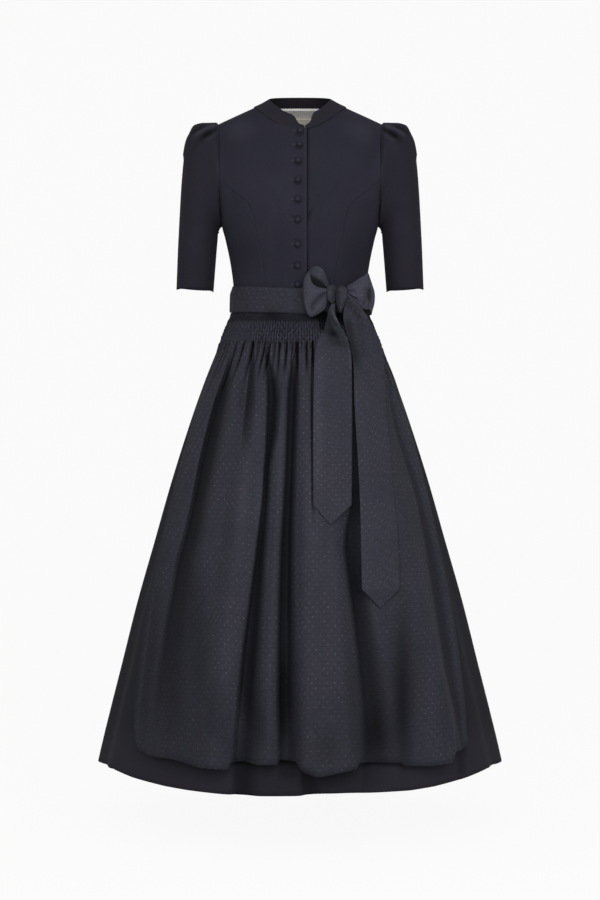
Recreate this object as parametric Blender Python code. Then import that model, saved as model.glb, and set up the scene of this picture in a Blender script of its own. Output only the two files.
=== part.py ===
"""A dirndl: a fitted bodice with a stand collar, nine covered buttons and puffed half sleeves,
a long plain skirt, and a smocked apron whose ties wrap the waist and end in a bow.

It keeps the form that it has when it is worn, hollow, with walls of cloth.
Metres, +Z up. The front faces -Y and the wearer's left is +X.
The origin is the middle of the shoulder line, where the wearer's shoulders carry it.
"""

import math
from collections import namedtuple

import bmesh
import bpy
from mathutils import Vector

MM = 0.001
SEAM_GAP = 0.3 * MM
TURN_STEP = 0.12
RISE_STEP = 0.5 * MM
CURVE_STEPS = 12
SHARP_ANGLE = 50.0

# Cloth thicknesses
BODICE_CLOTH = 2.0 * MM
SKIRT_CLOTH = 1.5 * MM
APRON_CLOTH = 1.2 * MM
TIE_CLOTH = 1.6 * MM
LINING_CLOTH = 1.0 * MM

# Shoulders
SHOULDER_SLOPE = 0.45
SHOULDER_ROUND = 0.100
SHOULDER_TIP = 0.163
NECK_HALF = 0.0905
NECK_SIDE = 0.0198
NECK_FRONT = -0.033
NECK_BACK = 0.027
NECK_ARCH = SHOULDER_SLOPE * NECK_HALF / 2
SHOULDER_TIP_Z = NECK_SIDE - SHOULDER_SLOPE * (SHOULDER_TIP - NECK_HALF)
CREST = 1.0 * MM

# The body of the bodice, from the waist up: half the width, and the depth before and behind the side seams.
# Squareness is the exponent of the plan curve: 2 is an ellipse, more is squarer.
Torso = namedtuple("Torso", "z half_width front_depth back_depth squareness")
TORSO = (
    Torso(-0.420, 0.1337, 0.0955, 0.0825, 2.1),
    Torso(-0.375, 0.1335, 0.0950, 0.0820, 2.1),
    Torso(-0.340, 0.1330, 0.0940, 0.0810, 2.1),
    Torso(-0.292, 0.1390, 0.1040, 0.0890, 2.1),
    Torso(-0.244, 0.1490, 0.1170, 0.0990, 2.2),
    Torso(-0.218, 0.1560, 0.1230, 0.1030, 2.3),
    Torso(-0.200, 0.1580, 0.1250, 0.1050, 2.45),
    Torso(-0.170, 0.1620, 0.1220, 0.1080, 2.8),
    Torso(-0.120, 0.1660, 0.1090, 0.1090, 3.2),
    Torso(-0.080, 0.1660, 0.0960, 0.1080, 3.2),
    Torso(-0.036, 0.1660, 0.0785, 0.1085, 3.2),
    Torso(0.000, 0.1660, 0.0770, 0.1220, 3.2),
    Torso(0.040, 0.1660, 0.0770, 0.1450, 3.2),
)
WAIST = -0.375
ARMPIT = -0.218

# Where the armhole seam runs: how far out it is at each height
Armhole = namedtuple("Armhole", "z x")
ARMHOLE = (
    Armhole(-0.218, 0.1560),
    Armhole(-0.200, 0.1570),
    Armhole(-0.170, 0.1580),
    Armhole(-0.110, 0.1590),
    Armhole(-0.060, 0.1600),
    Armhole(SHOULDER_TIP_Z, SHOULDER_TIP),
)
ARMHOLE_MIDDLE = (ARMPIT + SHOULDER_TIP_Z) / 2
ARMHOLE_HALF = (SHOULDER_TIP_Z - ARMPIT) / 2
PRINCESS_START = 99.0

# The princess seam, from the armhole over the bust to the waist
Princess = namedtuple("Princess", "x z")
PRINCESS = (
    Princess(0.1440, -0.1460),
    Princess(0.1238, -0.1648),
    Princess(0.1082, -0.1765),
    Princess(0.0934, -0.1980),
    Princess(0.0883, -0.2194),
    Princess(0.0830, -0.2520),
    Princess(0.0735, -0.2896),
    Princess(0.0690, -0.3306),
    Princess(0.0660, WAIST),
)

# The button edge: the wearer's right front lies over the left
OVERLAP = 0.0134
UNDERLAP = 0.0080
OVERLAP_LIFT = BODICE_CLOTH + 0.9 * MM
LIFT_START = 0.055
LIFT_END = 0.031
COLLAR_END_RIGHT = 0.0030
COLLAR_END_LEFT = 0.0190

# How many pieces each seam is divided into
NECK_STEPS = 5
BACK_NECK_STEPS = 8
SHOULDER_STEPS = 3
SEAM_STEPS = 7
ARMHOLE_UPPER_STEPS = 6
ARMHOLE_LOWER_STEPS = 5
ARMHOLE_BACK_STEPS = 8

# Buttons, by the height and the place of each centre, and how far each is seated over the front
Button = namedtuple("Button", "z x seat")
BUTTONS = (
    Button(-0.0400, 0.0000, 0.55 * MM),
    Button(-0.0687, -0.0014, 0.15 * MM),
    Button(-0.1016, -0.0035, 0.30 * MM),
    Button(-0.1402, -0.0045, 0.25 * MM),
    Button(-0.1787, -0.0045, 0.15 * MM),
    Button(-0.2171, -0.0045, 0.20 * MM),
    Button(-0.2632, -0.0045, 0.35 * MM),
    Button(-0.3040, -0.0045, 0.40 * MM),
    Button(-0.3405, -0.0045, 0.90 * MM),
)
BUTTON_RADIUS = 6.0 * MM
BUTTON_SIDES = 12
# A button's profile: share of the radius, and height over the cloth
ButtonRing = namedtuple("ButtonRing", "share height")
BUTTON_PROFILE = (
    ButtonRing(0.90, 0.0),
    ButtonRing(1.00, 1.2 * MM),
    ButtonRing(0.84, 2.2 * MM),
    ButtonRing(0.70, 1.9 * MM),
    ButtonRing(0.36, 3.0 * MM),
)
BUTTON_TOP = 3.3 * MM

# Collar: its top edge stands inside its base
COLLAR_HALF = 0.0645
COLLAR_FRONT_Y = -0.0620
COLLAR_BACK_Y = 0.0625
COLLAR_FRONT_Z = -0.0060
COLLAR_SIDE_Z = 0.0370
COLLAR_BACK_Z = 0.0510
COLLAR_CORNER = 0.014
COLLAR_HEIGHT = 0.032
COLLAR_END_SHARE = 0.8
COLLAR_ROWS = 4

# Lining and label inside the back of the neck
LINING_ROWS = 4
LABEL_WIDTH = 0.045
LABEL_HEIGHT = 0.018
LABEL_MIDDLE_X = 0.002
LABEL_MIDDLE_Z = 0.0060
LABEL_CLEAR = 2.6 * MM
LABEL_COLUMNS = 6

# Sleeve rings, from the head to the hem: the outer and the under point, and the depth before and behind
Ring = namedtuple("Ring", "outer_x outer_z under_x under_z front back pleat")
SLEEVE = (
    Ring(0.1700, -0.0060, 0.1580, -0.2190, 0.0585, 0.0565, 2.0 * MM),
    Ring(0.1880, -0.0070, 0.1590, -0.2197, 0.0600, 0.0590, 4.0 * MM),
    Ring(0.2050, -0.0130, 0.1600, -0.2207, 0.0610, 0.0600, 4.5 * MM),
    Ring(0.2165, -0.0260, 0.1608, -0.2222, 0.0610, 0.0600, 4.0 * MM),
    Ring(0.2260, -0.0480, 0.1615, -0.2240, 0.0600, 0.0590, 2.5 * MM),
    Ring(0.2325, -0.0850, 0.1622, -0.2262, 0.0590, 0.0580, 1.0 * MM),
    Ring(0.2370, -0.1350, 0.1628, -0.2290, 0.0580, 0.0575, 0.0),
    Ring(0.2405, -0.1950, 0.1636, -0.2330, 0.0570, 0.0570, 0.0),
    Ring(0.2438, -0.2600, 0.1667, -0.2660, 0.0545, 0.0545, 0.0),
    Ring(0.2470, -0.3390, 0.1730, -0.3440, 0.0480, 0.0480, 0.0),
)
SLEEVE_SQUARENESS = 2.2
SLEEVE_PLEATS = (-48.0, -30.0, -12.0, 12.0, 30.0, 48.0)
PLEAT_HALF = 8.0
SLEEVE_PLAIN_STEPS = 10

# Skirt, from the waist down: half the width, and the depth before and behind the side seams
Skirt = namedtuple("Skirt", "z half_width front_depth back_depth")
SKIRT = (
    Skirt(-0.3740, 0.1334, 0.0949, 0.0819),
    Skirt(-0.3990, 0.1336, 0.0953, 0.0823),
    Skirt(-0.4120, 0.1430, 0.1060, 0.0930),
    Skirt(-0.4540, 0.1600, 0.1260, 0.1140),
    Skirt(-0.5140, 0.1850, 0.1510, 0.1420),
    Skirt(-0.6040, 0.2170, 0.1860, 0.1800),
    Skirt(-0.7240, 0.2550, 0.2280, 0.2230),
    Skirt(-0.8440, 0.2890, 0.2660, 0.2610),
    Skirt(-0.9640, 0.3230, 0.3030, 0.2960),
    Skirt(-1.0840, 0.3530, 0.3360, 0.3270),
    Skirt(-1.2040, 0.3830, 0.3690, 0.3560),
    Skirt(-1.2900, 0.4020, 0.3900, 0.3760),
)
SKIRT_TOP = WAIST - SEAM_GAP
HEM = -1.286
HEM_POINT = 0.13
SKIRT_ROWS = (SKIRT_TOP, -0.3985, -0.415, -0.450, -0.520, -0.630, -0.790, -0.970, -1.140, HEM)
FRONT_COLUMNS = 28
GATHERS_BACK = 36
GATHER_ROWS = 5
BACK_COLUMNS = 42
GATHER_RAISE = 1.8 * MM
GATHER_START = -0.402
GATHER_END = -0.620

# Soft folds of the plain skirt: the angle from centre front, and the height at the hem
Fold = namedtuple("Fold", "high_angle low_angle high_raise low_raise")
SKIRT_FRONT_FOLDS = (
    Fold(-90, -90, 0.0, 0.0),
    Fold(-82, -83, 1.0 * MM, 2.0 * MM),
    Fold(-75, -75, 0.0, -7.0 * MM),
    Fold(-66, -66, 1.0 * MM, 2.0 * MM),
    Fold(-40, -40, 0.0, 0.0),
    Fold(-14, -16, 1.0 * MM, 3.0 * MM),
    Fold(6, 4, 0.0, 0.0),
    Fold(28, 28, 1.0 * MM, 3.0 * MM),
    Fold(50, 50, 0.0, 0.0),
    Fold(64, 64, 1.0 * MM, 2.0 * MM),
    Fold(74, 73, 0.0, -7.0 * MM),
    Fold(82, 82, 1.0 * MM, 2.0 * MM),
    Fold(90, 90, 0.0, 0.0),
)
SKIRT_BACK_FOLDS = (
    Fold(90, 90, 0.0, 0.0),
    Fold(99, 98, 0.0, -9.0 * MM),
    Fold(108, 107, 3.0 * MM, 16.0 * MM),
    Fold(116, 117, 0.0, -6.0 * MM),
    Fold(125, 127, 3.0 * MM, 20.0 * MM),
    Fold(134, 136, 0.0, -4.0 * MM),
    Fold(142, 144, 4.0 * MM, 22.0 * MM),
    Fold(151, 153, 0.0, -2.0 * MM),
    Fold(160, 161, 3.0 * MM, 23.0 * MM),
    Fold(168, 169, 0.0, 0.0),
    Fold(177, 178, 4.0 * MM, 24.0 * MM),
    Fold(185, 187, 0.0, 0.0),
    Fold(194, 195, 3.0 * MM, 22.0 * MM),
    Fold(203, 203, 0.0, -3.0 * MM),
    Fold(212, 213, 4.0 * MM, 21.0 * MM),
    Fold(221, 221, 0.0, -5.0 * MM),
    Fold(230, 231, 3.0 * MM, 19.0 * MM),
    Fold(239, 240, 0.0, -7.0 * MM),
    Fold(249, 250, 3.0 * MM, 15.0 * MM),
    Fold(260, 260, 0.0, -9.0 * MM),
    Fold(270, 270, 0.0, 0.0),
)

# Apron: its edges, and its folds from the smocking to the hem
Edge = namedtuple("Edge", "z angle")
APRON_EDGE = (
    Edge(-0.395, 77.0),
    Edge(-0.454, 75.0),
    Edge(-0.600, 69.0),
    Edge(-0.800, 65.5),
    Edge(-1.000, 63.5),
    Edge(-1.150, 60.5),
    Edge(-1.260, 57.0),
)
APRON_FOLDS = (
    Fold(-80, -62, 1.0 * MM, 8.0 * MM),
    Fold(-66, -55, 4.0 * MM, 26.0 * MM),
    Fold(-51, -49, 1.0 * MM, 8.0 * MM),
    Fold(-40, -38, 7.0 * MM, 22.0 * MM),
    Fold(-31, -32, 2.0 * MM, 26.0 * MM),
    Fold(-24, -25, 9.0 * MM, 42.0 * MM),
    Fold(-15.5, -18.5, 0.5 * MM, 8.0 * MM),
    Fold(-9.5, -10.5, 9.0 * MM, 31.0 * MM),
    Fold(-4, -4.5, 0.5 * MM, 9.0 * MM),
    Fold(3, 3, 9.0 * MM, 40.0 * MM),
    Fold(10, 14, 8.0 * MM, 44.0 * MM),
    Fold(18, 22.5, 1.0 * MM, 9.0 * MM),
    Fold(27, 32, 4.0 * MM, 12.0 * MM),
    Fold(40, 45, 9.0 * MM, 38.0 * MM),
    Fold(52, 51, 2.0 * MM, 18.0 * MM),
    Fold(66, 56, 5.0 * MM, 22.0 * MM),
    Fold(80, 62, 1.0 * MM, 8.0 * MM),
)
FOLD_START = -0.450
FOLD_HIGH = -0.540
FOLD_LOW = -1.250
APRON_CLEAR = 5.6 * MM
APRON_CLEAR_TOP = 4.4 * MM
APRON_CLEAR_FULL = -0.430
APRON_HEM_VALLEY = -1.232
APRON_HEM_DROP = 0.38
SMOCK_PLEATS = 78
SMOCK_ROWS = (0.0, 0.010, 0.034, 0.058)
SMOCK_RAISE = (0.3 * MM, 1.6 * MM, 1.6 * MM, 1.6 * MM)
RELEASE_ROWS = (-0.480, -0.515)
RELEASE_RAISE = (1.6 * MM, 0.8 * MM)
APRON_ROWS = (-0.560, -0.630, -0.720, -0.830, -0.940, -1.050, -1.150)
APRON_COLUMNS = 72

# Waist: the apron's band, and the tie that wraps over it
Band = namedtuple("Band", "angle top low")
BAND = (
    Band(0, -0.3490, -0.3970),
    Band(90, -0.3370, -0.3890),
    Band(180, -0.3320, -0.3850),
)
BAND_EDGE_DROP = 1.5 * MM
BAND_SEAT = 3.9 * MM
BAND_SIDE_ANGLE = 80.0
TIE_START = 40.0
TIE_STEP = 10.0
TIE_PARTING = 1.0
BAND_ROWS = 3

# The bow, in the wearer's frame: the two edges of the ribbon at each station
Station = namedtuple("Station", "top_x top_z low_x low_z y bulge")
LOOP_RIGHT = (
    Station(0.0550, -0.3540, 0.0550, -0.3750, -0.1152, 0.0),
    Station(0.0400, -0.3480, 0.0460, -0.3900, -0.1262, 2.0 * MM),
    Station(0.0260, -0.3420, 0.0300, -0.4030, -0.1302, 3.0 * MM),
    Station(0.0150, -0.3230, 0.0175, -0.4040, -0.1252, 2.0 * MM),
    Station(0.0110, -0.3160, 0.0110, -0.3900, -0.1142, 0.0),
    Station(0.0200, -0.3100, 0.0150, -0.3850, -0.1052, 0.0),
    Station(0.0330, -0.3085, 0.0260, -0.3820, -0.1022, 0.0),
    Station(0.0460, -0.3200, 0.0400, -0.3740, -0.1022, 0.0),
    Station(0.0550, -0.3430, 0.0550, -0.3700, -0.1037, 0.0),
)
LOOP_LEFT = (
    Station(0.0925, -0.3490, 0.0925, -0.3750, -0.1092, 0.0),
    Station(0.1060, -0.3370, 0.1060, -0.3790, -0.1152, 2.0 * MM),
    Station(0.1200, -0.3280, 0.1180, -0.3880, -0.1122, 3.0 * MM),
    Station(0.1320, -0.3225, 0.1300, -0.3980, -0.1022, 2.0 * MM),
    Station(0.1405, -0.3300, 0.1420, -0.3970, -0.0862, 0.0),
    Station(0.1360, -0.3380, 0.1370, -0.3900, -0.0732, 0.0),
    Station(0.1220, -0.3440, 0.1240, -0.3820, -0.0717, 0.0),
    Station(0.1080, -0.3500, 0.1080, -0.3750, -0.0802, 0.0),
    Station(0.0950, -0.3530, 0.0950, -0.3720, -0.0912, 0.0),
)
LOOP_STEPS = 16
LOOP_COLUMNS = 4
KNOT_MIDDLE = Vector((0.0735, -0.1087, -0.3685))
KNOT_HALF = Vector((0.0190, 0.0165, 0.0235))
KNOT_SIDES = 14
KNOT_RINGS = 9
KNOT_TURN = 30.0
KNOT_LEAN = 0.4
KNOT_GROOVE = 0.12
KNOT_GROOVE_WIDTH = 0.22

# The hanging ends: the places of the two edges at each height
TailRow = namedtuple("TailRow", "z left_x right_x lift")
TAIL_SHORT = (
    TailRow(-0.3955, 0.0560, 0.0700, 0.0120),
    TailRow(-0.4200, 0.0450, 0.0780, 0.0110),
    TailRow(-0.4450, 0.0350, 0.0880, 0.0080),
    TailRow(-0.4700, 0.0300, 0.0950, 0.0050),
    TailRow(-0.5050, 0.0262, 0.0990, 0.0030),
    TailRow(-0.6500, 0.0246, 0.0985, 0.0013),
    TailRow(-0.7650, 0.0252, 0.0965, 0.0013),
    TailRow(-0.8040, 0.0590, 0.0600, 0.0013),
)
TAIL_LONG = (
    TailRow(-0.3955, 0.0860, 0.1010, 0.0120),
    TailRow(-0.4200, 0.0930, 0.1330, 0.0110),
    TailRow(-0.4600, 0.0985, 0.1525, 0.0060),
    TailRow(-0.5200, 0.1005, 0.1610, 0.0040),
    TailRow(-0.5800, 0.1015, 0.1650, 0.0013),
    TailRow(-0.6900, 0.1090, 0.1720, 0.0013),
    TailRow(-0.8000, 0.1120, 0.1800, 0.0013),
    TailRow(-0.9080, 0.1140, 0.1850, 0.0013),
    TailRow(-0.9560, 0.1500, 0.1510, 0.0013),
)
TAIL_COLUMNS = 4
TAIL_STEPS = 12
TAIL_TIP_HALF = 1.0 * MM
REACH_STEPS = 8
TAIL_TOP_Y = -0.1115
TAIL_MEET = -0.470


def ease(share):
    """0 to 1 with level ends."""
    share = min(max(share, 0.0), 1.0)
    return share * share * (3 - 2 * share)


def read(table, column, at):
    """A column of a table at a value of its first column, on a smooth curve through the rows."""
    rows = sorted((row[0], getattr(row, column)) for row in table)
    if at <= rows[0][0]:
        return rows[0][1]
    if at >= rows[-1][0]:
        return rows[-1][1]
    i = next(k for k in range(len(rows) - 1) if rows[k + 1][0] >= at)
    slopes = []
    for k in (i, i + 1):
        low, high = max(k - 1, 0), min(k + 1, len(rows) - 1)
        slopes.append((rows[high][1] - rows[low][1]) / (rows[high][0] - rows[low][0]))
    (x0, y0), (x1, y1) = rows[i], rows[i + 1]
    width = x1 - x0
    t = (at - x0) / width
    start = (2 * t**3 - 3 * t**2 + 1) * y0 + (t**3 - 2 * t**2 + t) * width * slopes[0]
    return start + (3 * t**2 - 2 * t**3) * y1 + (t**3 - t**2) * width * slopes[1]


def along(points, share):
    """A point at a share of the length of a smooth curve through points."""
    steps = CURVE_STEPS * (len(points) - 1)
    fine = [smooth_point(points, k / steps) for k in range(steps + 1)]
    lengths = [0.0]
    for a, b in zip(fine, fine[1:]):
        lengths.append(lengths[-1] + (b - a).length)
    wanted = share * lengths[-1]
    i = next((k for k in range(steps) if lengths[k + 1] >= wanted), steps - 1)
    span = lengths[i + 1] - lengths[i]
    return fine[i].lerp(fine[i + 1], min((wanted - lengths[i]) / span, 1.0))


def smooth_point(points, share):
    """A point at a share of the rows of a smooth curve through points."""
    place = min(max(share, 0.0), 1.0) * (len(points) - 1)
    i = min(int(place), len(points) - 2)
    t = place - i
    before = points[max(i - 1, 0)]
    a, b = points[i], points[i + 1]
    after = points[min(i + 2, len(points) - 1)]
    bend = (2 * before - 5 * a + 4 * b - after) * t**2 + (3 * a - before - 3 * b + after) * t**3
    return 0.5 * (2 * a + (b - before) * t + bend)


def shoulder_line(x):
    """Height of the shoulder seam at a distance from the middle, carried over the neck as an arch."""
    if abs(x) < NECK_HALF:
        return NECK_SIDE + NECK_ARCH * (1 - (x / NECK_HALF) ** 2)
    return NECK_SIDE - SHOULDER_SLOPE * (abs(x) - NECK_HALF)


def torso(angle, z):
    """A point on the outside of the bodice: angle in degrees from centre front, and height."""
    across = math.sin(math.radians(angle))
    x = read(TORSO, "half_width", z) * across
    squareness = read(TORSO, "squareness", z)
    below = max(shoulder_line(x) - z, 0.0)
    rounding = math.sqrt(1 - (1 - min(below / SHOULDER_ROUND, 1.0)) ** 2)
    depth = max(1 - abs(across) ** squareness, 0.0) ** (1 / squareness) * rounding
    if math.cos(math.radians(angle)) > 0:
        return Vector((x, -depth * read(TORSO, "front_depth", z), z))
    return Vector((x, depth * read(TORSO, "back_depth", z), z))


def torso_angle(x, z):
    """The angle at which the front of the bodice is x from the middle."""
    return math.degrees(math.asin(min(max(x / read(TORSO, "half_width", z), -1.0), 1.0)))


def normal_of(surface, angle, z):
    """The outward direction of a surface given by angle and height."""
    across = surface(angle + TURN_STEP, z) - surface(angle - TURN_STEP, z)
    up = surface(angle, z + RISE_STEP) - surface(angle, z - RISE_STEP)
    return across.cross(up).normalized()


def torso_normal(angle, z):
    x = torso(angle, z).x
    if shoulder_line(x) - z < CREST:
        return Vector((math.copysign(SHOULDER_SLOPE, x), 0, 1)).normalized()
    return normal_of(torso, angle, z)


def coons(top, low, left, right):
    """Rows of places inside four edges, each place an angle and a height."""
    rows = []
    for i in range(len(left)):
        v = i / (len(left) - 1)
        row = []
        for j in range(len(top)):
            u = j / (len(top) - 1)
            place = []
            for k in (0, 1):
                edges = (1 - v) * top[j][k] + v * low[j][k] + (1 - u) * left[i][k] + u * right[i][k]
                corners = (1 - v) * ((1 - u) * top[0][k] + u * top[-1][k])
                corners += v * ((1 - u) * low[0][k] + u * low[-1][k])
                place.append(edges - corners)
            row.append(tuple(place))
        rows.append(row)
    return rows


def pull_in(rows, sides):
    """Moves the named edges of a grid of points inward by half a seam gap."""
    last_row, last_column = len(rows) - 1, len(rows[0]) - 1
    moves = []
    for side in sides:
        if side in ("top", "low"):
            i, inner = (0, 1) if side == "top" else (last_row, last_row - 1)
            cells = []
            for j in range(last_column + 1):
                cells.append((i, j, inner, j, i, max(j - 1, 0), i, min(j + 1, last_column)))
        else:
            j, inner = (0, 1) if side == "left" else (last_column, last_column - 1)
            cells = []
            for i in range(last_row + 1):
                cells.append((i, j, i, inner, max(i - 1, 0), j, min(i + 1, last_row), j))
        for i, j, near_i, near_j, a_i, a_j, b_i, b_j in cells:
            run = (rows[b_i][b_j] - rows[a_i][a_j]).normalized()
            inward = rows[near_i][near_j] - rows[i][j]
            inward -= run * inward.dot(run)
            moves.append((i, j, inward.normalized() * (SEAM_GAP / 2)))
    for i, j, move in moves:
        rows[i][j] = rows[i][j] + move


def grid_normals(rows, closed=False):
    """The outward direction at each point of a grid whose rows run down and columns anticlockwise from above."""
    count = len(rows[0])
    normals = []
    for i, row in enumerate(rows):
        above, below = rows[max(i - 1, 0)], rows[min(i + 1, len(rows) - 1)]
        line = []
        for j in range(count):
            if closed:
                before, after = row[(j - 1) % count], row[(j + 1) % count]
            else:
                before, after = row[max(j - 1, 0)], row[min(j + 1, count - 1)]
            line.append((after - before).cross(above[j] - below[j]).normalized())
        normals.append(line)
    return normals


def moved(rows, normals, distance):
    """A grid of points moved along its normals."""
    return [[p + n * distance for p, n in zip(row, line)] for row, line in zip(rows, normals)]


def mirrored(rows, side):
    """A grid for the wearer's left, or its mirror image, with its columns in the same turning order."""
    if side > 0:
        return rows
    return [[Vector((-p.x, p.y, p.z)) for p in reversed(row)] for row in rows]


def even(rows):
    """Rows of points with the place of each along its row."""
    return [[(j / (len(row) - 1), p) for j, p in enumerate(row)] for row in rows]


def sewn(bm, first, second):
    """Triangles between two rows of placed vertices, which may differ in count."""
    i, j = 0, 0
    while i < len(first) - 1 or j < len(second) - 1:
        step_first = j == len(second) - 1 or (i < len(first) - 1 and first[i + 1][0] <= second[j + 1][0])
        if step_first:
            corners = (first[i][1], first[i + 1][1], second[j][1])
            i += 1
        else:
            corners = (first[i][1], second[j + 1][1], second[j][1])
            j += 1
        bm.faces.new(corners)


def cloth(name, finish, outer, inner, closed=False):
    """A closed wall of cloth between an outer and an inner grid of placed points with as many rows."""
    bm = bmesh.new()
    sides = []
    for rows in (outer, inner):
        lines = []
        for row in rows:
            line = [(place, bm.verts.new(point)) for place, point in row]
            if closed:
                line.append((line[0][0] + 1.0, line[0][1]))
            lines.append(line)
        sides.append(lines)
    for lines in sides:
        for above, below in zip(lines, lines[1:]):
            sewn(bm, above, below)
    outside, inside = sides
    sewn(bm, outside[0], inside[0])
    sewn(bm, outside[-1], inside[-1])
    if not closed:
        for end in (0, -1):
            for i in range(len(outside) - 1):
                a, b = outside[i][end][1], outside[i + 1][end][1]
                c, d = inside[i + 1][end][1], inside[i][end][1]
                bm.faces.new((a, b, c))
                bm.faces.new((a, c, d))
    return finished(name, finish, bm)


def finished(name, finish, bm):
    """Makes the mesh an object of the scene with its faces outward and its own material."""
    bmesh.ops.recalc_face_normals(bm, faces=bm.faces)
    mesh = bpy.data.meshes.new(name)
    bm.to_mesh(mesh)
    bm.free()
    mesh.shade_smooth()
    mesh.set_sharp_from_angle(angle=math.radians(SHARP_ANGLE))
    material = bpy.data.materials.new(name)
    material.use_nodes = True
    principled = material.node_tree.nodes["Principled BSDF"]
    principled.inputs["Base Color"].default_value = finish.color
    principled.inputs["Roughness"].default_value = finish.roughness
    principled.inputs["Metallic"].default_value = 0.0
    mesh.materials.append(material)
    obj = bpy.data.objects.new(name, mesh)
    bpy.context.scene.collection.objects.link(obj)
    return obj


Finish = namedtuple("Finish", "color roughness")
NAVY_CLOTH = Finish((0.024, 0.024, 0.036, 1), 0.85)
COLLAR_CLOTH = Finish((0.018, 0.018, 0.026, 1), 0.85)
SKIRT_FINISH = Finish((0.019, 0.018, 0.023, 1), 0.80)
JACQUARD = Finish((0.034, 0.035, 0.046, 1), 0.60)
IVORY_LINING = Finish((0.62, 0.60, 0.55, 1), 0.70)
CREAM_LABEL = Finish((0.68, 0.64, 0.47, 1), 0.60)


# Seam lines of the bodice, each a list of angles and heights on the wearer's left


def armhole_place(turn):
    """A place on the front of the armhole, turning from 0 at the shoulder tip to 180 at the armpit."""
    z = ARMHOLE_MIDDLE + ARMHOLE_HALF * math.cos(math.radians(turn))
    return torso_angle(read(ARMHOLE, "x", z), z), z


def armhole_line(start, end, steps):
    return [armhole_place(start + (end - start) * k / steps) for k in range(steps + 1)]


def princess_line():
    start = armhole_place(PRINCESS_START)
    first = Vector((torso(*start).x, start[1], 0))
    points = [first] + [Vector((row.x, row.z, 0)) for row in PRINCESS]
    places = []
    for k in range(SEAM_STEPS + 1):
        point = along(points, k / SEAM_STEPS)
        places.append((torso_angle(point.x, point.y), point.y))
    places[0] = start
    places[-1] = (torso_angle(PRINCESS[-1].x, WAIST), WAIST)
    return places


def side_line():
    return [(90.0, ARMPIT + (WAIST - ARMPIT) * k / SEAM_STEPS) for k in range(SEAM_STEPS + 1)]


def front_neck_z(x):
    return NECK_FRONT + (NECK_SIDE - NECK_FRONT) * (x / NECK_HALF) ** 2


def neck_line(collar_end):
    """The front neck seam from where the collar ends out to the shoulder seam."""
    start = math.asin(collar_end / NECK_HALF)
    places = []
    for k in range(NECK_STEPS + 1):
        x = NECK_HALF * math.sin(start + (math.pi / 2 - start) * k / NECK_STEPS)
        z = front_neck_z(x)
        places.append((torso_angle(x, z), z))
    return places


def shoulder_seam():
    """The shoulder seam from neck to tip."""
    places = []
    for k in range(SHOULDER_STEPS + 1):
        x = NECK_HALF + (SHOULDER_TIP - NECK_HALF) * k / SHOULDER_STEPS
        z = shoulder_line(x)
        places.append((torso_angle(x, z), z))
    places[-1] = armhole_place(0)
    return places


def behind(places):
    """The same places on the back of the bodice."""
    return [(180 - angle, z) for angle, z in places]


def back_neck_line():
    """The back neck seam from the wearer's left to the right."""
    places = []
    for k in range(BACK_NECK_STEPS + 1):
        turn = math.radians(90 - 180 * k / BACK_NECK_STEPS)
        x = NECK_HALF * math.sin(turn)
        z = NECK_SIDE + (NECK_BACK - NECK_SIDE) * math.cos(turn) ** 2
        places.append((180 - torso_angle(x, z), z))
    return places


def between(first, last, steps):
    return [tuple(a + (b - a) * k / steps for a, b in zip(first, last)) for k in range(steps + 1)]


def bodice_front(name, side, past_centre, collar_end, lift):
    """A centre front panel, from past the middle to the princess seam."""
    neck = neck_line(collar_end)
    corner_z = front_neck_z(past_centre)
    top = [(torso_angle(-past_centre, corner_z), corner_z)] + neck + shoulder_seam()[1:]
    steps = ARMHOLE_UPPER_STEPS + SEAM_STEPS
    left = []
    for k in range(steps + 1):
        z = corner_z + (WAIST - corner_z) * k / steps
        left.append((torso_angle(-past_centre, z), z))
    right = armhole_line(0, PRINCESS_START, ARMHOLE_UPPER_STEPS) + princess_line()[1:]
    low = between(left[-1], right[-1], len(top) - 1)
    places = coons(top, low, left, right)
    outer, inner = [], []
    for row in places:
        points = [torso(*place) for place in row]
        normals = [torso_normal(*place) for place in row]
        rises = [lift * ease((LIFT_START - p.x) / (LIFT_START - LIFT_END)) for p in points]
        outer.append([p + n * r for p, n, r in zip(points, normals, rises)])
        inner.append([p + n * (r - BODICE_CLOTH) for p, n, r in zip(points, normals, rises)])
    for rows in (outer, inner):
        pull_in(rows, ("top", "right"))
    return cloth(name, NAVY_CLOTH, even(mirrored(outer, side)), even(mirrored(inner, side)))


def bodice_side(name, side):
    """A side front panel, from the princess seam to the side seam."""
    left = princess_line()
    right = side_line()
    top = armhole_line(PRINCESS_START, 180, ARMHOLE_LOWER_STEPS)
    low = between(left[-1], right[-1], ARMHOLE_LOWER_STEPS)
    places = coons(top, low, left, right)
    outer = [[torso(*place) for place in row] for row in places]
    normals = [[torso_normal(*place) for place in row] for row in places]
    inner = moved(outer, normals, -BODICE_CLOTH)
    for rows in (outer, inner):
        pull_in(rows, ("top", "left", "right"))
    return cloth(name, NAVY_CLOTH, even(mirrored(outer, side)), even(mirrored(inner, side)))


def back_places():
    """Places over the whole back, from the wearer's left side seam to the right."""
    shoulder = behind(shoulder_seam())
    top = list(reversed(shoulder)) + back_neck_line()[1:-1]
    top += [(360 - angle, z) for angle, z in shoulder]
    left = behind(armhole_line(0, 180, ARMHOLE_BACK_STEPS)) + side_line()[1:]
    right = [(360 - angle, z) for angle, z in left]
    low = between(left[-1], right[-1], len(top) - 1)
    return coons(top, low, left, right)


def bodice_back():
    places = back_places()
    outer = [[torso(*place) for place in row] for row in places]
    normals = [[torso_normal(*place) for place in row] for row in places]
    inner = moved(outer, normals, -BODICE_CLOTH)
    for rows in (outer, inner):
        pull_in(rows, ("top", "left", "right"))
    cloth("bodice_back", NAVY_CLOTH, even(outer), even(inner))


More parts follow.
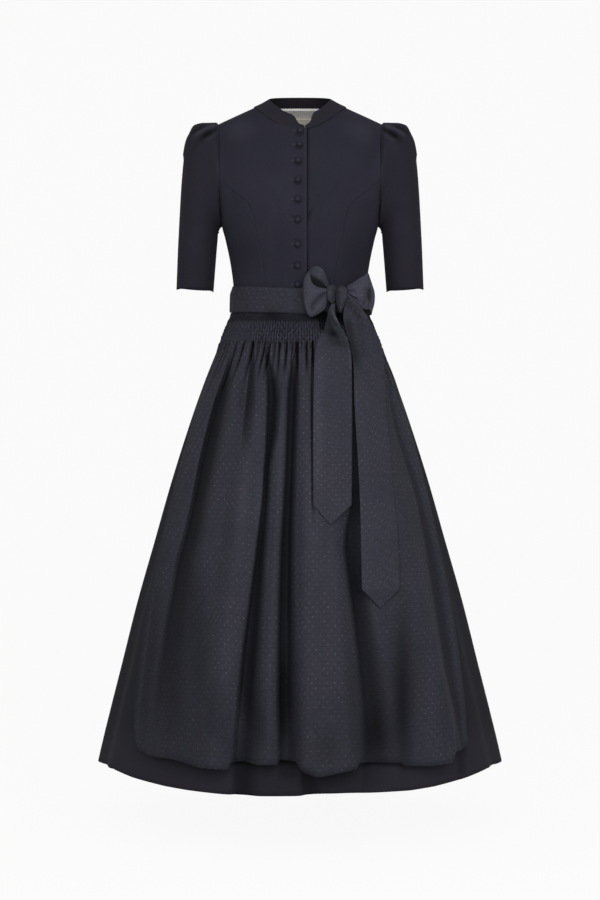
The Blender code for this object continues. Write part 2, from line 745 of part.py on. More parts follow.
def neck_lining():
    """The lining inside the upper back, made from the back panel's places."""
    places = [row[SHOULDER_STEPS:-SHOULDER_STEPS] for row in back_places()[: LINING_ROWS + 1]]
    points = [[torso(*place) for place in row] for row in places]
    normals = [[torso_normal(*place) for place in row] for row in places]
    outer = moved(points, normals, -BODICE_CLOTH - SEAM_GAP)
    inner = moved(points, normals, -BODICE_CLOTH - SEAM_GAP - LINING_CLOTH)
    for rows in (outer, inner):
        pull_in(rows, ("top",))
    cloth("neck_lining", IVORY_LINING, even(outer), even(inner))


def neck_label():
    """The blank label on the lining."""
    depth = BODICE_CLOTH + LINING_CLOTH + LABEL_CLEAR
    outer, inner = [], []
    for z in (LABEL_MIDDLE_Z + LABEL_HEIGHT / 2, LABEL_MIDDLE_Z - LABEL_HEIGHT / 2):
        lines = ([], [])
        for k in range(LABEL_COLUMNS + 1):
            x = LABEL_MIDDLE_X + LABEL_WIDTH * (0.5 - k / LABEL_COLUMNS)
            place = (180 - torso_angle(x, z), z)
            point, normal = torso(*place), torso_normal(*place)
            for line, extra in zip(lines, (0.0, LINING_CLOTH)):
                line.append(point - normal * (depth + extra))
        outer.append(lines[0])
        inner.append(lines[1])
    cloth("neck_label", CREAM_LABEL, even(outer), even(inner))


def collar():
    """The stand collar, from its end at the wearer's right front round the back to the left."""
    right = [torso(*place) for place in neck_line(COLLAR_END_RIGHT)]
    left = [torso(*place) for place in neck_line(COLLAR_END_LEFT)]
    back = [torso(*place) for place in back_neck_line()]
    base = [Vector((-p.x, p.y, p.z)) for p in right] + list(reversed(back))[1:-1] + list(reversed(left))
    rows = []
    for k in range(COLLAR_ROWS + 1):
        share = 1 - k / COLLAR_ROWS
        row = []
        for point in base:
            sine = max(min(point.x / NECK_HALF, 1.0), -1.0)
            cosine = math.sqrt(1 - sine * sine)
            front = point.y < 0
            top_y = (COLLAR_FRONT_Y if front else COLLAR_BACK_Y) * cosine
            end_z = COLLAR_FRONT_Z if front else COLLAR_BACK_Z
            top = Vector((COLLAR_HALF * sine, top_y, COLLAR_SIDE_Z + (end_z - COLLAR_SIDE_Z) * cosine**2))
            row.append(point.lerp(top, share))
        rows.append(row)
    rows = [rounded_ends(row, 1 - k / COLLAR_ROWS) for k, row in enumerate(rows)]
    normals = grid_normals(rows)
    outer = moved(rows, normals, 0.0)
    inner = moved(rows, normals, -BODICE_CLOTH)
    for grid in (outer, inner):
        pull_in(grid, ("low",))
    cloth("collar", COLLAR_CLOTH, even(outer), even(inner))


def rounded_ends(row, share):
    """Draws the two ends of a row of the collar back, so that its upper corners are round."""
    into = max(COLLAR_HEIGHT * share - (COLLAR_HEIGHT - COLLAR_CORNER), 0.0)
    back = COLLAR_CORNER - math.sqrt(COLLAR_CORNER**2 - into**2)
    row = list(row)
    for end, step in ((0, 1), (len(row) - 1, -1)):
        inward = row[end + step] - row[end]
        row[end] = row[end] + inward.normalized() * min(back, inward.length * COLLAR_END_SHARE)
    return row


def button(number, place):
    """A covered button: a domed cap with a raised rim, on the wearer's right front."""
    angle = torso_angle(place.x, place.z)
    axis = torso_normal(angle, place.z)
    seat = torso(angle, place.z) + axis * (OVERLAP_LIFT + place.seat)
    turn = Vector((0, 0, 1)).rotation_difference(axis)
    bm = bmesh.new()
    rings = len(BUTTON_PROFILE)
    bmesh.ops.create_uvsphere(bm, u_segments=BUTTON_SIDES, v_segments=rings + 1, radius=1.0)
    for vert in bm.verts:
        k = round(math.acos(max(min(-vert.co.z, 1.0), -1.0)) / math.pi * (rings + 1))
        if 0 < k <= rings:
            ring = BUTTON_PROFILE[k - 1]
            flat = Vector((vert.co.x, vert.co.y, 0)).normalized() * (ring.share * BUTTON_RADIUS)
            vert.co = flat + Vector((0, 0, ring.height))
        else:
            vert.co = (0, 0, BUTTON_TOP if k else 0.0)
        vert.co = seat + turn @ vert.co
    finished(f"button_{number}", NAVY_CLOTH, bm)


def sleeve_turns():
    """Turns round a sleeve: two for each half pleat over the head, and even ones below."""
    turns = set()
    for middle in SLEEVE_PLEATS:
        turns |= {middle - PLEAT_HALF, middle, middle + PLEAT_HALF}
    turns |= {0.0}
    edge = SLEEVE_PLEATS[-1] + PLEAT_HALF
    for k in range(1, SLEEVE_PLAIN_STEPS):
        turns.add(edge + (360 - 2 * edge) * k / SLEEVE_PLAIN_STEPS)
    return sorted(turns)


def armhole_point(turn):
    """A point of the armhole seam all round: 0 at the shoulder tip, 90 in front, 180 at the armpit."""
    wrapped = turn % 360
    if wrapped <= 180:
        angle, z = armhole_place(wrapped)
    else:
        angle, z = armhole_place(360 - wrapped)
        angle = 180 - angle
    return torso(angle, z) + Vector((SEAM_GAP, 0, 0))


def sleeve_point(ring, turn):
    angle = math.radians(turn)
    middle = Vector((ring.outer_x + ring.under_x, 0, ring.outer_z + ring.under_z)) / 2
    half = Vector((ring.outer_x - ring.under_x, 0, ring.outer_z - ring.under_z)) / 2
    power = 2 / SLEEVE_SQUARENESS
    along_ring = math.copysign(abs(math.cos(angle)) ** power, math.cos(angle))
    depth = abs(math.sin(angle)) ** power
    reach = -ring.front * depth if math.sin(angle) > 0 else ring.back * depth
    return middle + half * along_ring + Vector((0, reach, 0))


def pleat_share(turn):
    """How high the pleats stand at a turn: 1 on a pleat's edge, 0 between pleats."""
    turn = (turn + 180) % 360 - 180
    near = min(abs(turn - middle) for middle in SLEEVE_PLEATS)
    return max(1 - near / PLEAT_HALF, 0.0)


def sleeve(name, side):
    """A sleeve: a tube from the armhole seam to the hem, its head pleated over a plain inside."""
    turns = sleeve_turns()
    base = [[armhole_point(turn) for turn in turns]]
    base += [[sleeve_point(ring, turn) for turn in turns] for ring in SLEEVE]
    normals = grid_normals(base, closed=True)
    middle = sum(base[-1], Vector()) / len(turns)
    if normals[-1][0].dot(base[-1][0] - middle) < 0:
        normals = [[-n for n in line] for line in normals]
    inner = moved(base, normals, -BODICE_CLOTH)
    outer = [base[0]]
    for ring, row, line in zip(SLEEVE, base[1:], normals[1:]):
        outer.append([p + n * ring.pleat * pleat_share(t) for p, n, t in zip(row, line, turns)])
    if side < 0:
        outer, inner = (mirrored(rows, side) for rows in (outer, inner))
        turns = [-t for t in reversed(turns)]
    shares = [(t - turns[0]) / 360 for t in turns]
    outer = [list(zip(shares, row)) for row in outer]
    inner = [list(zip(shares, row)) for row in inner]
    cloth(name, NAVY_CLOTH, outer, inner, closed=True)


def fold_raise(folds, angle, z):
    """How far a fold stands out at an angle and a height, from a table of crests and valleys."""
    low_share = min(max((FOLD_HIGH - z) / (FOLD_HIGH - FOLD_LOW), 0.0), 1.0)
    growth = ease((FOLD_START - z) / (FOLD_START - FOLD_HIGH))
    lines = []
    for fold in folds:
        place = fold.high_angle + (fold.low_angle - fold.high_angle) * low_share
        rise = fold.high_raise + (fold.low_raise - fold.high_raise) * low_share
        lines.append((place, rise * growth))
    if angle <= lines[0][0]:
        return lines[0][1]
    if angle >= lines[-1][0]:
        return lines[-1][1]
    i = next(k for k in range(len(lines) - 1) if lines[k + 1][0] >= angle)
    (a, low), (b, high) = lines[i], lines[i + 1]
    return low + (high - low) * ease((angle - a) / (b - a))


def skirt_form(angle, z, out):
    """The plan of the skirt at a height, moved out: an oval that grows slightly pointed at the sides."""
    sine, cosine = math.sin(math.radians(angle)), math.cos(math.radians(angle))
    power = 1 + HEM_POINT * min(max((SKIRT_TOP - z) / (SKIRT_TOP - HEM), 0.0), 1.0)
    depth = read(SKIRT, "front_depth" if cosine > 0 else "back_depth", z)
    x = (read(SKIRT, "half_width", z) + out) * math.copysign(abs(sine) ** power, sine)
    y = -(depth + out) * math.copysign(abs(cosine) ** power, cosine)
    return Vector((x, y, z))


def skirt(angle, z):
    """A point on the outside of the skirt."""
    wrapped = (angle + 90) % 360 - 90
    folds = SKIRT_FRONT_FOLDS if wrapped <= 90 else SKIRT_BACK_FOLDS
    return skirt_form(angle, z, fold_raise(folds, wrapped, z))


def skirt_panel(name, start, end, columns, gathers):
    """A skirt panel between its side seams, with raised gathers at the waist where gathers is not 0."""
    outer, inner = [], []
    gap = math.degrees(SEAM_GAP / 2 / read(SKIRT, "half_width", WAIST))
    for i, z in enumerate(SKIRT_ROWS):
        count = 2 * gathers if gathers and i < GATHER_ROWS else columns
        grow = ease((GATHER_START - z) / (GATHER_START - SKIRT_ROWS[2]))
        grow *= 1 - ease((SKIRT_ROWS[2] - z) / (SKIRT_ROWS[2] - GATHER_END))
        trim = gap * read(SKIRT, "half_width", WAIST) / read(SKIRT, "half_width", z)
        rows = ([], [])
        for j in range(count + 1):
            share = j / count
            angle = start + trim + (end - start - 2 * trim) * share
            point, normal = skirt(angle, z), normal_of(skirt, angle, z)
            rise = GATHER_RAISE * grow if gathers and j % 2 and i < GATHER_ROWS else 0.0
            rows[0].append((share, point + normal * rise))
            rows[1].append((share, point - normal * SKIRT_CLOTH))
        outer.append(rows[0])
        inner.append(rows[1])
    cloth(name, SKIRT_FINISH, outer, inner)


def apron_edge(z):
    return read(APRON_EDGE, "angle", z)


def apron(angle, z):
    """A point on the outside of the apron, over the skirt."""
    settle = ease((BAND[0].low - z) / (BAND[0].low - APRON_CLEAR_FULL))
    clear = APRON_CLEAR_TOP + (APRON_CLEAR - APRON_CLEAR_TOP) * settle
    return skirt_form(angle, z, clear + fold_raise(APRON_FOLDS, angle, z))


def band_edge(column, angle):
    wrapped = abs((angle + 180) % 360 - 180)
    return read(BAND, column, wrapped)


def apron_rows():
    """The rows of the apron: heights at an angle, the columns and the smocking's raise."""
    rows = []
    for depth, rise in zip(SMOCK_ROWS, SMOCK_RAISE):
        below = BAND_EDGE_DROP + SEAM_GAP + depth
        rows.append((lambda angle, drop=below: band_edge("low", angle) - drop, True, rise))
    for z, rise in zip(RELEASE_ROWS, RELEASE_RAISE):
        rows.append((lambda angle, level=z: level, True, rise))
    for z in APRON_ROWS:
        rows.append((lambda angle, level=z: level, False, 0.0))
    rows.append((apron_hem, False, 0.0))
    return rows


def apron_hem(angle):
    return APRON_HEM_VALLEY - APRON_HEM_DROP * fold_raise(APRON_FOLDS, angle, APRON_HEM_VALLEY)


def apron_panel():
    """The apron: smocked under the band, and released into folds that grow towards the hem."""
    outer, inner = [], []
    for height, smocked, rise in apron_rows():
        fine = 2 * SMOCK_PLEATS if smocked else APRON_COLUMNS
        rows = ([], [])
        for row, count in zip(rows, (fine, APRON_COLUMNS)):
            for j in range(count + 1):
                share = j / count
                rough = height(0.0)
                angle = apron_edge(rough) * (2 * share - 1)
                z = height(angle)
                point, normal = apron(angle, z), normal_of(apron, angle, z)
                if row is rows[1]:
                    point = point - normal * APRON_CLOTH
                elif smocked and j % 2:
                    point = point + normal * rise
                row.append((share, point))
        outer.append(rows[0])
        inner.append(rows[1])
    cloth("apron", JACQUARD, outer, inner)


def waist_ring(name, start, end, seat, drop):
    """A strip of the band's height round the waist, a distance out from the bodice."""
    count = math.ceil((end - start) / TIE_STEP)
    angles = [start + TIE_STEP * k for k in range(count)] + [end]
    outer, inner = [], []
    for k in range(BAND_ROWS):
        down = k / (BAND_ROWS - 1)
        rows = ([], [])
        for angle in angles:
            z = band_edge("top", angle) * (1 - down) + (band_edge("low", angle) - drop) * down
            point, normal = torso(angle, z), torso_normal(angle, z)
            rows[0].append(point + normal * (seat + TIE_CLOTH))
            rows[1].append(point + normal * seat)
        outer.append(rows[0])
        inner.append(rows[1])
    cloth(name, JACQUARD, even(outer), even(inner))


def bow_loop(name, stations):
    """One loop of the bow: a ribbon that leaves the knot, turns and comes back behind itself."""
    tops = [Vector((row.top_x, row.y, row.top_z)) for row in stations]
    lows = [Vector((row.low_x, row.y, row.low_z)) for row in stations]
    bulges = [Vector((row.bulge, 0, 0)) for row in stations]
    rows = []
    for k in range(LOOP_STEPS + 1):
        share = k / LOOP_STEPS
        top, low = smooth_point(tops, share), smooth_point(lows, share)
        bulge = smooth_point(bulges, share).x
        row = []
        for j in range(LOOP_COLUMNS + 1):
            across = j / LOOP_COLUMNS
            row.append(top.lerp(low, across) + Vector((0, -bulge * math.sin(math.pi * across), 0)))
        rows.append(row)
    normals = grid_normals(rows)
    half = TIE_CLOTH / 2
    cloth(name, JACQUARD, even(moved(rows, normals, half)), even(moved(rows, normals, -half)))


def knot():
    """The knot: a rounded bundle with a groove between its two turns of cloth."""
    bm = bmesh.new()
    bmesh.ops.create_uvsphere(bm, u_segments=KNOT_SIDES, v_segments=KNOT_RINGS, radius=1.0)
    lean = math.radians(KNOT_TURN)
    for vert in bm.verts:
        across = vert.co.x * math.cos(lean) - vert.co.z * math.sin(lean) * KNOT_LEAN
        groove = 1 - KNOT_GROOVE * math.exp(-((across / KNOT_GROOVE_WIDTH) ** 2))
        shaped = Vector((vert.co.x, vert.co.y * groove, vert.co.z * groove))
        vert.co = KNOT_MIDDLE + Vector(a * b for a, b in zip(shaped, KNOT_HALF))
    bmesh.ops.triangulate(bm, faces=bm.faces)
    finished("bow_knot", JACQUARD, bm)


def apron_reach(z, left_x, right_x):
    """How far out of the skirt's form the apron stands between two places at a height."""
    reach = 0.0
    for k in range(REACH_STEPS + 1):
        x = left_x + (right_x - left_x) * k / REACH_STEPS
        angle = skirt_angle(x, z, APRON_CLEAR)
        reach = max(reach, APRON_CLEAR + fold_raise(APRON_FOLDS, angle, z))
    return reach


def skirt_angle(x, z, out):
    """The angle at which the skirt's form, moved out, is x from the middle."""
    power = 1 + HEM_POINT * (SKIRT_TOP - z) / (SKIRT_TOP - HEM)
    share = min(abs(x) / (read(SKIRT, "half_width", z) + out), 1.0)
    return math.copysign(math.degrees(math.asin(share ** (1 / power))), x)


def tie_tail(name, table):
    """A hanging end of the tie: it leaves the knot, lies over the apron and ends in a point."""
    heights = [Vector((row.z, row.left_x, row.right_x)) for row in table]
    lifts = [Vector((row.lift, 0, 0)) for row in table]
    rows = []
    for k in range(TAIL_STEPS + 1):
        share = k / TAIL_STEPS
        place = smooth_point(heights, share)
        z, left_x, right_x = place
        if k == TAIL_STEPS:
            left_x, right_x = left_x - TAIL_TIP_HALF, right_x + TAIL_TIP_HALF
        out = apron_reach(z, left_x, right_x) + smooth_point(lifts, share).x
        row = []
        for j in range(TAIL_COLUMNS + 1):
            x = left_x + (right_x - left_x) * j / TAIL_COLUMNS
            on_apron = skirt_form(skirt_angle(x, z, out), z, out).y
            from_knot = ease((z - TAIL_MEET) / (TAIL_LONG[0].z - TAIL_MEET))
            row.append(Vector((x, on_apron + (TAIL_TOP_Y - on_apron) * from_knot, z)))
        rows.append(row)
    normals = grid_normals(rows)
    cloth(name, JACQUARD, even(moved(rows, normals, TIE_CLOTH)), even(rows))


def clear_scene():
    for obj in list(bpy.data.objects):
        bpy.data.objects.remove(obj, do_unlink=True)


def main():
    clear_scene()
    bodice_front("bodice_front_right", -1, OVERLAP, COLLAR_END_RIGHT, OVERLAP_LIFT)
    bodice_front("bodice_front_left", 1, UNDERLAP, COLLAR_END_LEFT, 0.0)
    bodice_side("bodice_side_right", -1)
    bodice_side("bodice_side_left", 1)
    bodice_back()
    neck_lining()
    neck_label()
    collar()
    for number, place in enumerate(BUTTONS, start=1):
        button(number, place)
    sleeve("sleeve_right", -1)
    sleeve("sleeve_left", 1)
    skirt_panel("skirt_front", -90, 90, FRONT_COLUMNS, 0)
    skirt_panel("skirt_back", 90, 270, BACK_COLUMNS, GATHERS_BACK)
    apron_panel()
    waist_ring("apron_band", -BAND_SIDE_ANGLE, BAND_SIDE_ANGLE, BAND_SEAT, BAND_EDGE_DROP)
    waist_ring("waist_tie", TIE_START, TIE_START + 360 - TIE_PARTING, BAND_SEAT + TIE_CLOTH + SEAM_GAP, 0.0)
    bow_loop("bow_loop_right", LOOP_RIGHT)
    bow_loop("bow_loop_left", LOOP_LEFT)
    knot()
    tie_tail("tie_tail_short", TAIL_SHORT)
    tie_tail("tie_tail_long", TAIL_LONG)


main()
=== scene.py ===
"""A dirndl with its apron and bow, as it looks when it is worn: its cloths, seams, pleats, smocking and folds.

Metres, +Z up. The front faces -Y and the wearer's left is +X.
The front view is what the camera sees, at the size that things have in the wearer's middle plane.
"""

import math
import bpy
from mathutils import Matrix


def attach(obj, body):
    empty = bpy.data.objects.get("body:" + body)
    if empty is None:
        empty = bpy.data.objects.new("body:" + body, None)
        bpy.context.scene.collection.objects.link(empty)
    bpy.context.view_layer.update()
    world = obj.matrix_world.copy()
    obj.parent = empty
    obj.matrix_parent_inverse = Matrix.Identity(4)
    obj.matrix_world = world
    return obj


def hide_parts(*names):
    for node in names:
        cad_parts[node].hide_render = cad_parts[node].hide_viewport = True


bl_info = {
    "name": "Dirndl",
    "version": (1, 0, 0),
    "blender": (4, 5, 0),
    "location": "3D View > Sidebar > Dirndl",
    "description": "Makes the cloth, sewing and stage of a dirndl with a smocked apron",
    "category": "Object",
}

from collections import namedtuple
from functools import lru_cache

import bmesh
import bpy
from bpy.props import FloatProperty, FloatVectorProperty, PointerProperty
from mathutils import Vector, noise

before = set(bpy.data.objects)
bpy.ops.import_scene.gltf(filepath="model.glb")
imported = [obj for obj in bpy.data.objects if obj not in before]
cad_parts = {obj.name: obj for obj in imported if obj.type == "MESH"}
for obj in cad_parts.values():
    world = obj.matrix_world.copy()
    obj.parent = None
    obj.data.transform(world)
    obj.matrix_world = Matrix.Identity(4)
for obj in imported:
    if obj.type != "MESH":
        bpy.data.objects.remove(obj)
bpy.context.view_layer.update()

MM = 0.001
SEAM_GAP = 0.3 * MM
TURN_STEP = 0.12
RISE_STEP = 0.5 * MM
CURVE_STEPS = 12

# The eye of the front view: how far it is in front of the wearer's middle, and its height
SIGHT = 3.95
SIGHT_Z = -0.664
# The size of one of the photograph's pixels in the wearer's middle plane, and the pixel that the eye faces
PIXEL = 2.0 * MM
EYE_ACROSS = 299.5
EYE_DOWN = 450.0

Fold = namedtuple("Fold", "high_angle low_angle high_raise low_raise")
Valley = namedtuple("Valley", "z sharp soft depth")
Crease = namedtuple("Crease", "points depth width")


def table(columns, *rows):
    """A short table with named columns."""
    kind = namedtuple("Row", columns)
    return tuple(kind(*row) for row in rows)


def seen(across, down):
    """Where a pixel of the photograph lies on the front view."""
    return (across - EYE_ACROSS) * PIXEL, SIGHT_Z + (EYE_DOWN - down) * PIXEL


def soft_folds(*rows):
    """Crests and valleys in turn: their angles from centre front, high up and at the hem, and both heights in mm."""
    return tuple(Fold(high, low, rise * MM, hem_rise * MM) for high, low, rise, hem_rise in rows)


def valley(*rows):
    """A deep fold as it is seen, in pixels: how far down, its sharp and its soft edge, and its depth in mm."""
    made = []
    for down, sharp, soft, depth in rows:
        x, z = seen(sharp, down)
        made.append(Valley(z, x, seen(soft, down)[0], depth * MM))
    return tuple(made)


def creases_seen(*rows):
    """Creases as they are seen: a depth and a half width in mm, and the pixels that each runs through."""
    return tuple(Crease(tuple(seen(*place) for place in row[2:]), row[0] * MM, row[1] * MM) for row in rows)


def edges_seen(*rows):
    """Two edges as they are seen, in pixels: how far down, the left edge and the right edge."""
    return table("z left right", *((seen(a, down)[1], seen(a, down)[0], seen(b, down)[0]) for down, a, b in rows))


# Cloth thicknesses
BODICE_CLOTH = 2.0 * MM
TIE_CLOTH = 1.6 * MM
LINING_CLOTH = 1.0 * MM

# Places are in metres, with the height of the shoulders as 0

# Shoulders
SHOULDER_SLOPE = 0.45
SHOULDER_ROUND = 0.100
SHOULDER_TIP = 0.163
NECK_HALF = 0.0905
NECK_SIDE = 0.0198
NECK_FRONT = -0.033
NECK_BACK = 0.027
NECK_ARCH = SHOULDER_SLOPE * NECK_HALF / 2
SHOULDER_TIP_Z = NECK_SIDE - SHOULDER_SLOPE * (SHOULDER_TIP - NECK_HALF)
CREST = 1.0 * MM

# The body of the bodice, from the waist up: half the width, and the depth before and behind the side seams.
# Squareness is the exponent of the plan curve: 2 is an ellipse, more is squarer.
TORSO = table(
    "z half_width front_depth back_depth squareness",
    (-0.420, 0.1337, 0.0955, 0.0825, 2.1), (-0.375, 0.1335, 0.0950, 0.0820, 2.1),
    (-0.340, 0.1330, 0.0940, 0.0810, 2.1), (-0.292, 0.1390, 0.1040, 0.0890, 2.1),
    (-0.244, 0.1490, 0.1170, 0.0990, 2.2), (-0.218, 0.1560, 0.1230, 0.1030, 2.3),
    (-0.200, 0.1580, 0.1250, 0.1050, 2.45), (-0.170, 0.1620, 0.1220, 0.1080, 2.8),
    (-0.120, 0.1660, 0.1090, 0.1090, 3.2), (-0.080, 0.1660, 0.0960, 0.1080, 3.2),
    (-0.036, 0.1660, 0.0785, 0.1085, 3.2), (0.000, 0.1660, 0.0770, 0.1220, 3.2),
    (0.040, 0.1660, 0.0770, 0.1450, 3.2),
)
WAIST = -0.375
ARMPIT = -0.218

# Where the armhole seam runs: how far out it is at each height
ARMHOLE = table(
    "z x",
    (-0.218, 0.1560), (-0.200, 0.1570), (-0.170, 0.1580), (-0.110, 0.1590), (-0.060, 0.1600),
    (SHOULDER_TIP_Z, SHOULDER_TIP),
)
ARMHOLE_MIDDLE = (ARMPIT + SHOULDER_TIP_Z) / 2
ARMHOLE_HALF = (SHOULDER_TIP_Z - ARMPIT) / 2
ARMHOLE_STEPS = 30

# The princess seam, from the armhole over the bust to the waist
PRINCESS_START = 99.0
PRINCESS_STEPS = 40
PRINCESS = table(
    "x z",
    (0.1440, -0.1460), (0.1238, -0.1648), (0.1082, -0.1765), (0.0934, -0.1980), (0.0883, -0.2194),
    (0.0830, -0.2520), (0.0735, -0.2896), (0.0690, -0.3306), (0.0660, WAIST),
)
SIDE_STEPS = 7

# The button edge: the wearer's right front lies over the left
OVERLAP = 0.0134
UNDERLAP = 0.0080
OVERLAP_LIFT = BODICE_CLOTH + 0.9 * MM
LIFT_START = 0.055
LIFT_END = 0.031

# Buttons, by the height and the place of each centre, and how far each is seated over the front
BUTTONS = table(
    "z x seat",
    (-0.0400, 0.0000, 0.55 * MM), (-0.0687, -0.0014, 0.15 * MM), (-0.1016, -0.0035, 0.30 * MM),
    (-0.1402, -0.0045, 0.25 * MM), (-0.1787, -0.0045, 0.15 * MM), (-0.2171, -0.0045, 0.20 * MM),
    (-0.2632, -0.0045, 0.35 * MM), (-0.3040, -0.0045, 0.40 * MM), (-0.3405, -0.0045, 0.90 * MM),
)
BUTTON_RADIUS = 6.0 * MM

# Sleeve rings, from the head to the hem: the outer and the under point, and the depth before and behind
SLEEVE = table(
    "outer_x outer_z under_x under_z front back pleat",
    (0.1700, -0.0060, 0.1580, -0.2190, 0.0585, 0.0565, 2.0 * MM),
    (0.1880, -0.0070, 0.1590, -0.2197, 0.0600, 0.0590, 4.0 * MM),
    (0.2050, -0.0130, 0.1600, -0.2207, 0.0610, 0.0600, 4.5 * MM),
    (0.2165, -0.0260, 0.1608, -0.2222, 0.0610, 0.0600, 4.0 * MM),
    (0.2260, -0.0480, 0.1615, -0.2240, 0.0600, 0.0590, 2.5 * MM),
    (0.2325, -0.0850, 0.1622, -0.2262, 0.0590, 0.0580, 1.0 * MM),
    (0.2370, -0.1350, 0.1628, -0.2290, 0.0580, 0.0575, 0.0),
    (0.2405, -0.1950, 0.1636, -0.2330, 0.0570, 0.0570, 0.0),
    (0.2438, -0.2600, 0.1667, -0.2660, 0.0545, 0.0545, 0.0),
    (0.2470, -0.3390, 0.1730, -0.3440, 0.0480, 0.0480, 0.0),
)
SLEEVE_SQUARENESS = 2.2

# Skirt, from the waist down: half the width, and the depth before and behind the side seams
SKIRT = table(
    "z half_width front_depth back_depth",
    (-0.3740, 0.1334, 0.0949, 0.0819), (-0.3990, 0.1385, 0.0953, 0.0823), (-0.4120, 0.1430, 0.1060, 0.0930),
    (-0.4540, 0.1600, 0.1260, 0.1140), (-0.5140, 0.1850, 0.1510, 0.1420), (-0.6040, 0.2170, 0.1860, 0.1800),
    (-0.7240, 0.2550, 0.2280, 0.2230), (-0.8440, 0.2890, 0.2660, 0.2610), (-0.9640, 0.3230, 0.3030, 0.2960),
    (-1.0840, 0.3530, 0.3360, 0.3270), (-1.2040, 0.3830, 0.3690, 0.3560), (-1.2900, 0.4020, 0.3900, 0.3760),
)
SKIRT_TOP = WAIST - SEAM_GAP
HEM = -1.286
HEM_POINT = 0.13

# Soft folds of the plain skirt and of the apron, and the heights at which they begin, stand and end
SKIRT_FRONT_FOLDS = soft_folds(
    (-90, -90, 0, 0), (-82, -83, 1, 2), (-75, -75, 0, -7), (-66, -66, 1, 2), (-40, -40, 0, 0), (-14, -16, 1, 3),
    (6, 4, 0, 0), (28, 28, 1, 3), (50, 50, 0, 0), (64, 64, 1, 2), (74, 73, 0, -7), (82, 82, 1, 2),
    (90, 90, 0, 0),
)
SKIRT_BACK_FOLDS = soft_folds(
    (90, 90, 0, 0), (99, 98, 0, -9), (108, 107, 3, 16), (116, 117, 0, -6), (125, 127, 3, 20), (134, 136, 0, -4),
    (142, 144, 4, 22), (151, 153, 0, -2), (160, 161, 3, 23), (168, 169, 0, 0), (177, 178, 4, 24),
    (185, 187, 0, 0), (194, 195, 3, 22), (203, 203, 0, -3), (212, 213, 4, 21), (221, 221, 0, -5),
    (230, 231, 3, 19), (239, 240, 0, -7), (249, 250, 3, 15), (260, 260, 0, -9), (270, 270, 0, 0),
)
APRON_FOLDS = soft_folds(
    (-80, -62, 1, 8), (-66, -55, 4, 26), (-51, -49, 1, 8), (-40, -38, 7, 22), (-31, -32, 2, 26),
    (-24, -25, 9, 42),
    (-15.5, -18.5, 0.5, 8), (-9.5, -10.5, 9, 31), (-4, -4.5, 0.5, 9), (3, 3, 9, 40), (10, 14, 8, 44),
    (18, 22.5, 1, 9), (27, 32, 4, 12), (40, 45, 9, 38), (52, 51, 2, 18), (66, 56, 5, 22), (80, 62, 1, 8),
)
FOLD_START = -0.450
FOLD_HIGH = -0.540
FOLD_LOW = -1.250
APRON_CLEAR = 5.6 * MM
APRON_CLEAR_TOP = 4.4 * MM
APRON_CLEAR_FULL = -0.430

# Waist: the apron's band, and the tie that wraps over it
BAND = table("angle top low", (0, -0.3490, -0.3970), (90, -0.3370, -0.3890), (180, -0.3320, -0.3850))
BAND_EDGE_DROP = 1.5 * MM
BAND_SEAT = 3.9 * MM
TAIL_TOP_Y = -0.1135
TAIL_START = -0.3955
TAIL_MEET = -0.470
REACH_STEPS = 8


def ease(share):
    """0 to 1 with level ends."""
    share = min(max(share, 0.0), 1.0)
    return share * share * (3 - 2 * share)


def read(rows, column, at):
    """A column of a table at a value of its first column, on a smooth curve through the rows."""
    pairs = sorted((row[0], getattr(row, column)) for row in rows)
    if at <= pairs[0][0]:
        return pairs[0][1]
    if at >= pairs[-1][0]:
        return pairs[-1][1]
    i = next(k for k in range(len(pairs) - 1) if pairs[k + 1][0] >= at)
    slopes = []
    for k in (i, i + 1):
        low, high = max(k - 1, 0), min(k + 1, len(pairs) - 1)
        slopes.append((pairs[high][1] - pairs[low][1]) / (pairs[high][0] - pairs[low][0]))
    (x0, y0), (x1, y1) = pairs[i], pairs[i + 1]
    width = x1 - x0
    t = (at - x0) / width
    start = (2 * t**3 - 3 * t**2 + 1) * y0 + (t**3 - 2 * t**2 + t) * width * slopes[0]
    return start + (3 * t**2 - 2 * t**3) * y1 + (t**3 - t**2) * width * slopes[1]


def between(pairs, at):
    """A value on the straight lines through pairs of a place and a value, level past both ends."""
    i = next((k for k in range(1, len(pairs) - 1) if pairs[k][0] >= at), len(pairs) - 1)
    (a, low), (b, high) = pairs[i - 1], pairs[i]
    return low + (high - low) * min(max((at - a) / (b - a), 0.0), 1.0)


def smooth_point(points, share):
    """A point at a share of the rows of a smooth curve through points."""
    place = min(max(share, 0.0), 1.0) * (len(points) - 1)
    i = min(int(place), len(points) - 2)
    t = place - i
    before = points[max(i - 1, 0)]
    a, b = points[i], points[i + 1]
    after = points[min(i + 2, len(points) - 1)]
    bend = (2 * before - 5 * a + 4 * b - after) * t**2 + (3 * a - before - 3 * b + after) * t**3
    return 0.5 * (2 * a + (b - before) * t + bend)


def lengths_along(points):
    """The distance of each point from the first, along them."""
    total = [0.0]
    for a, b in zip(points, points[1:]):
        total.append(total[-1] + (b - a).length)
    return total


def along(points, share):
    """A point at a share of the length of a smooth curve through points."""
    steps = CURVE_STEPS * (len(points) - 1)
    fine = [smooth_point(points, k / steps) for k in range(steps + 1)]
    lengths = lengths_along(fine)
    wanted = share * lengths[-1]
    i = next((k for k in range(steps) if lengths[k + 1] >= wanted), steps - 1)
    span = lengths[i + 1] - lengths[i]
    return fine[i].lerp(fine[i + 1], min((wanted - lengths[i]) / span, 1.0))


def front_view(point):
    """Where a point shows on the front view."""
    grow = SIGHT / (SIGHT + point.y)
    return point.x * grow, SIGHT_Z + (point.z - SIGHT_Z) * grow


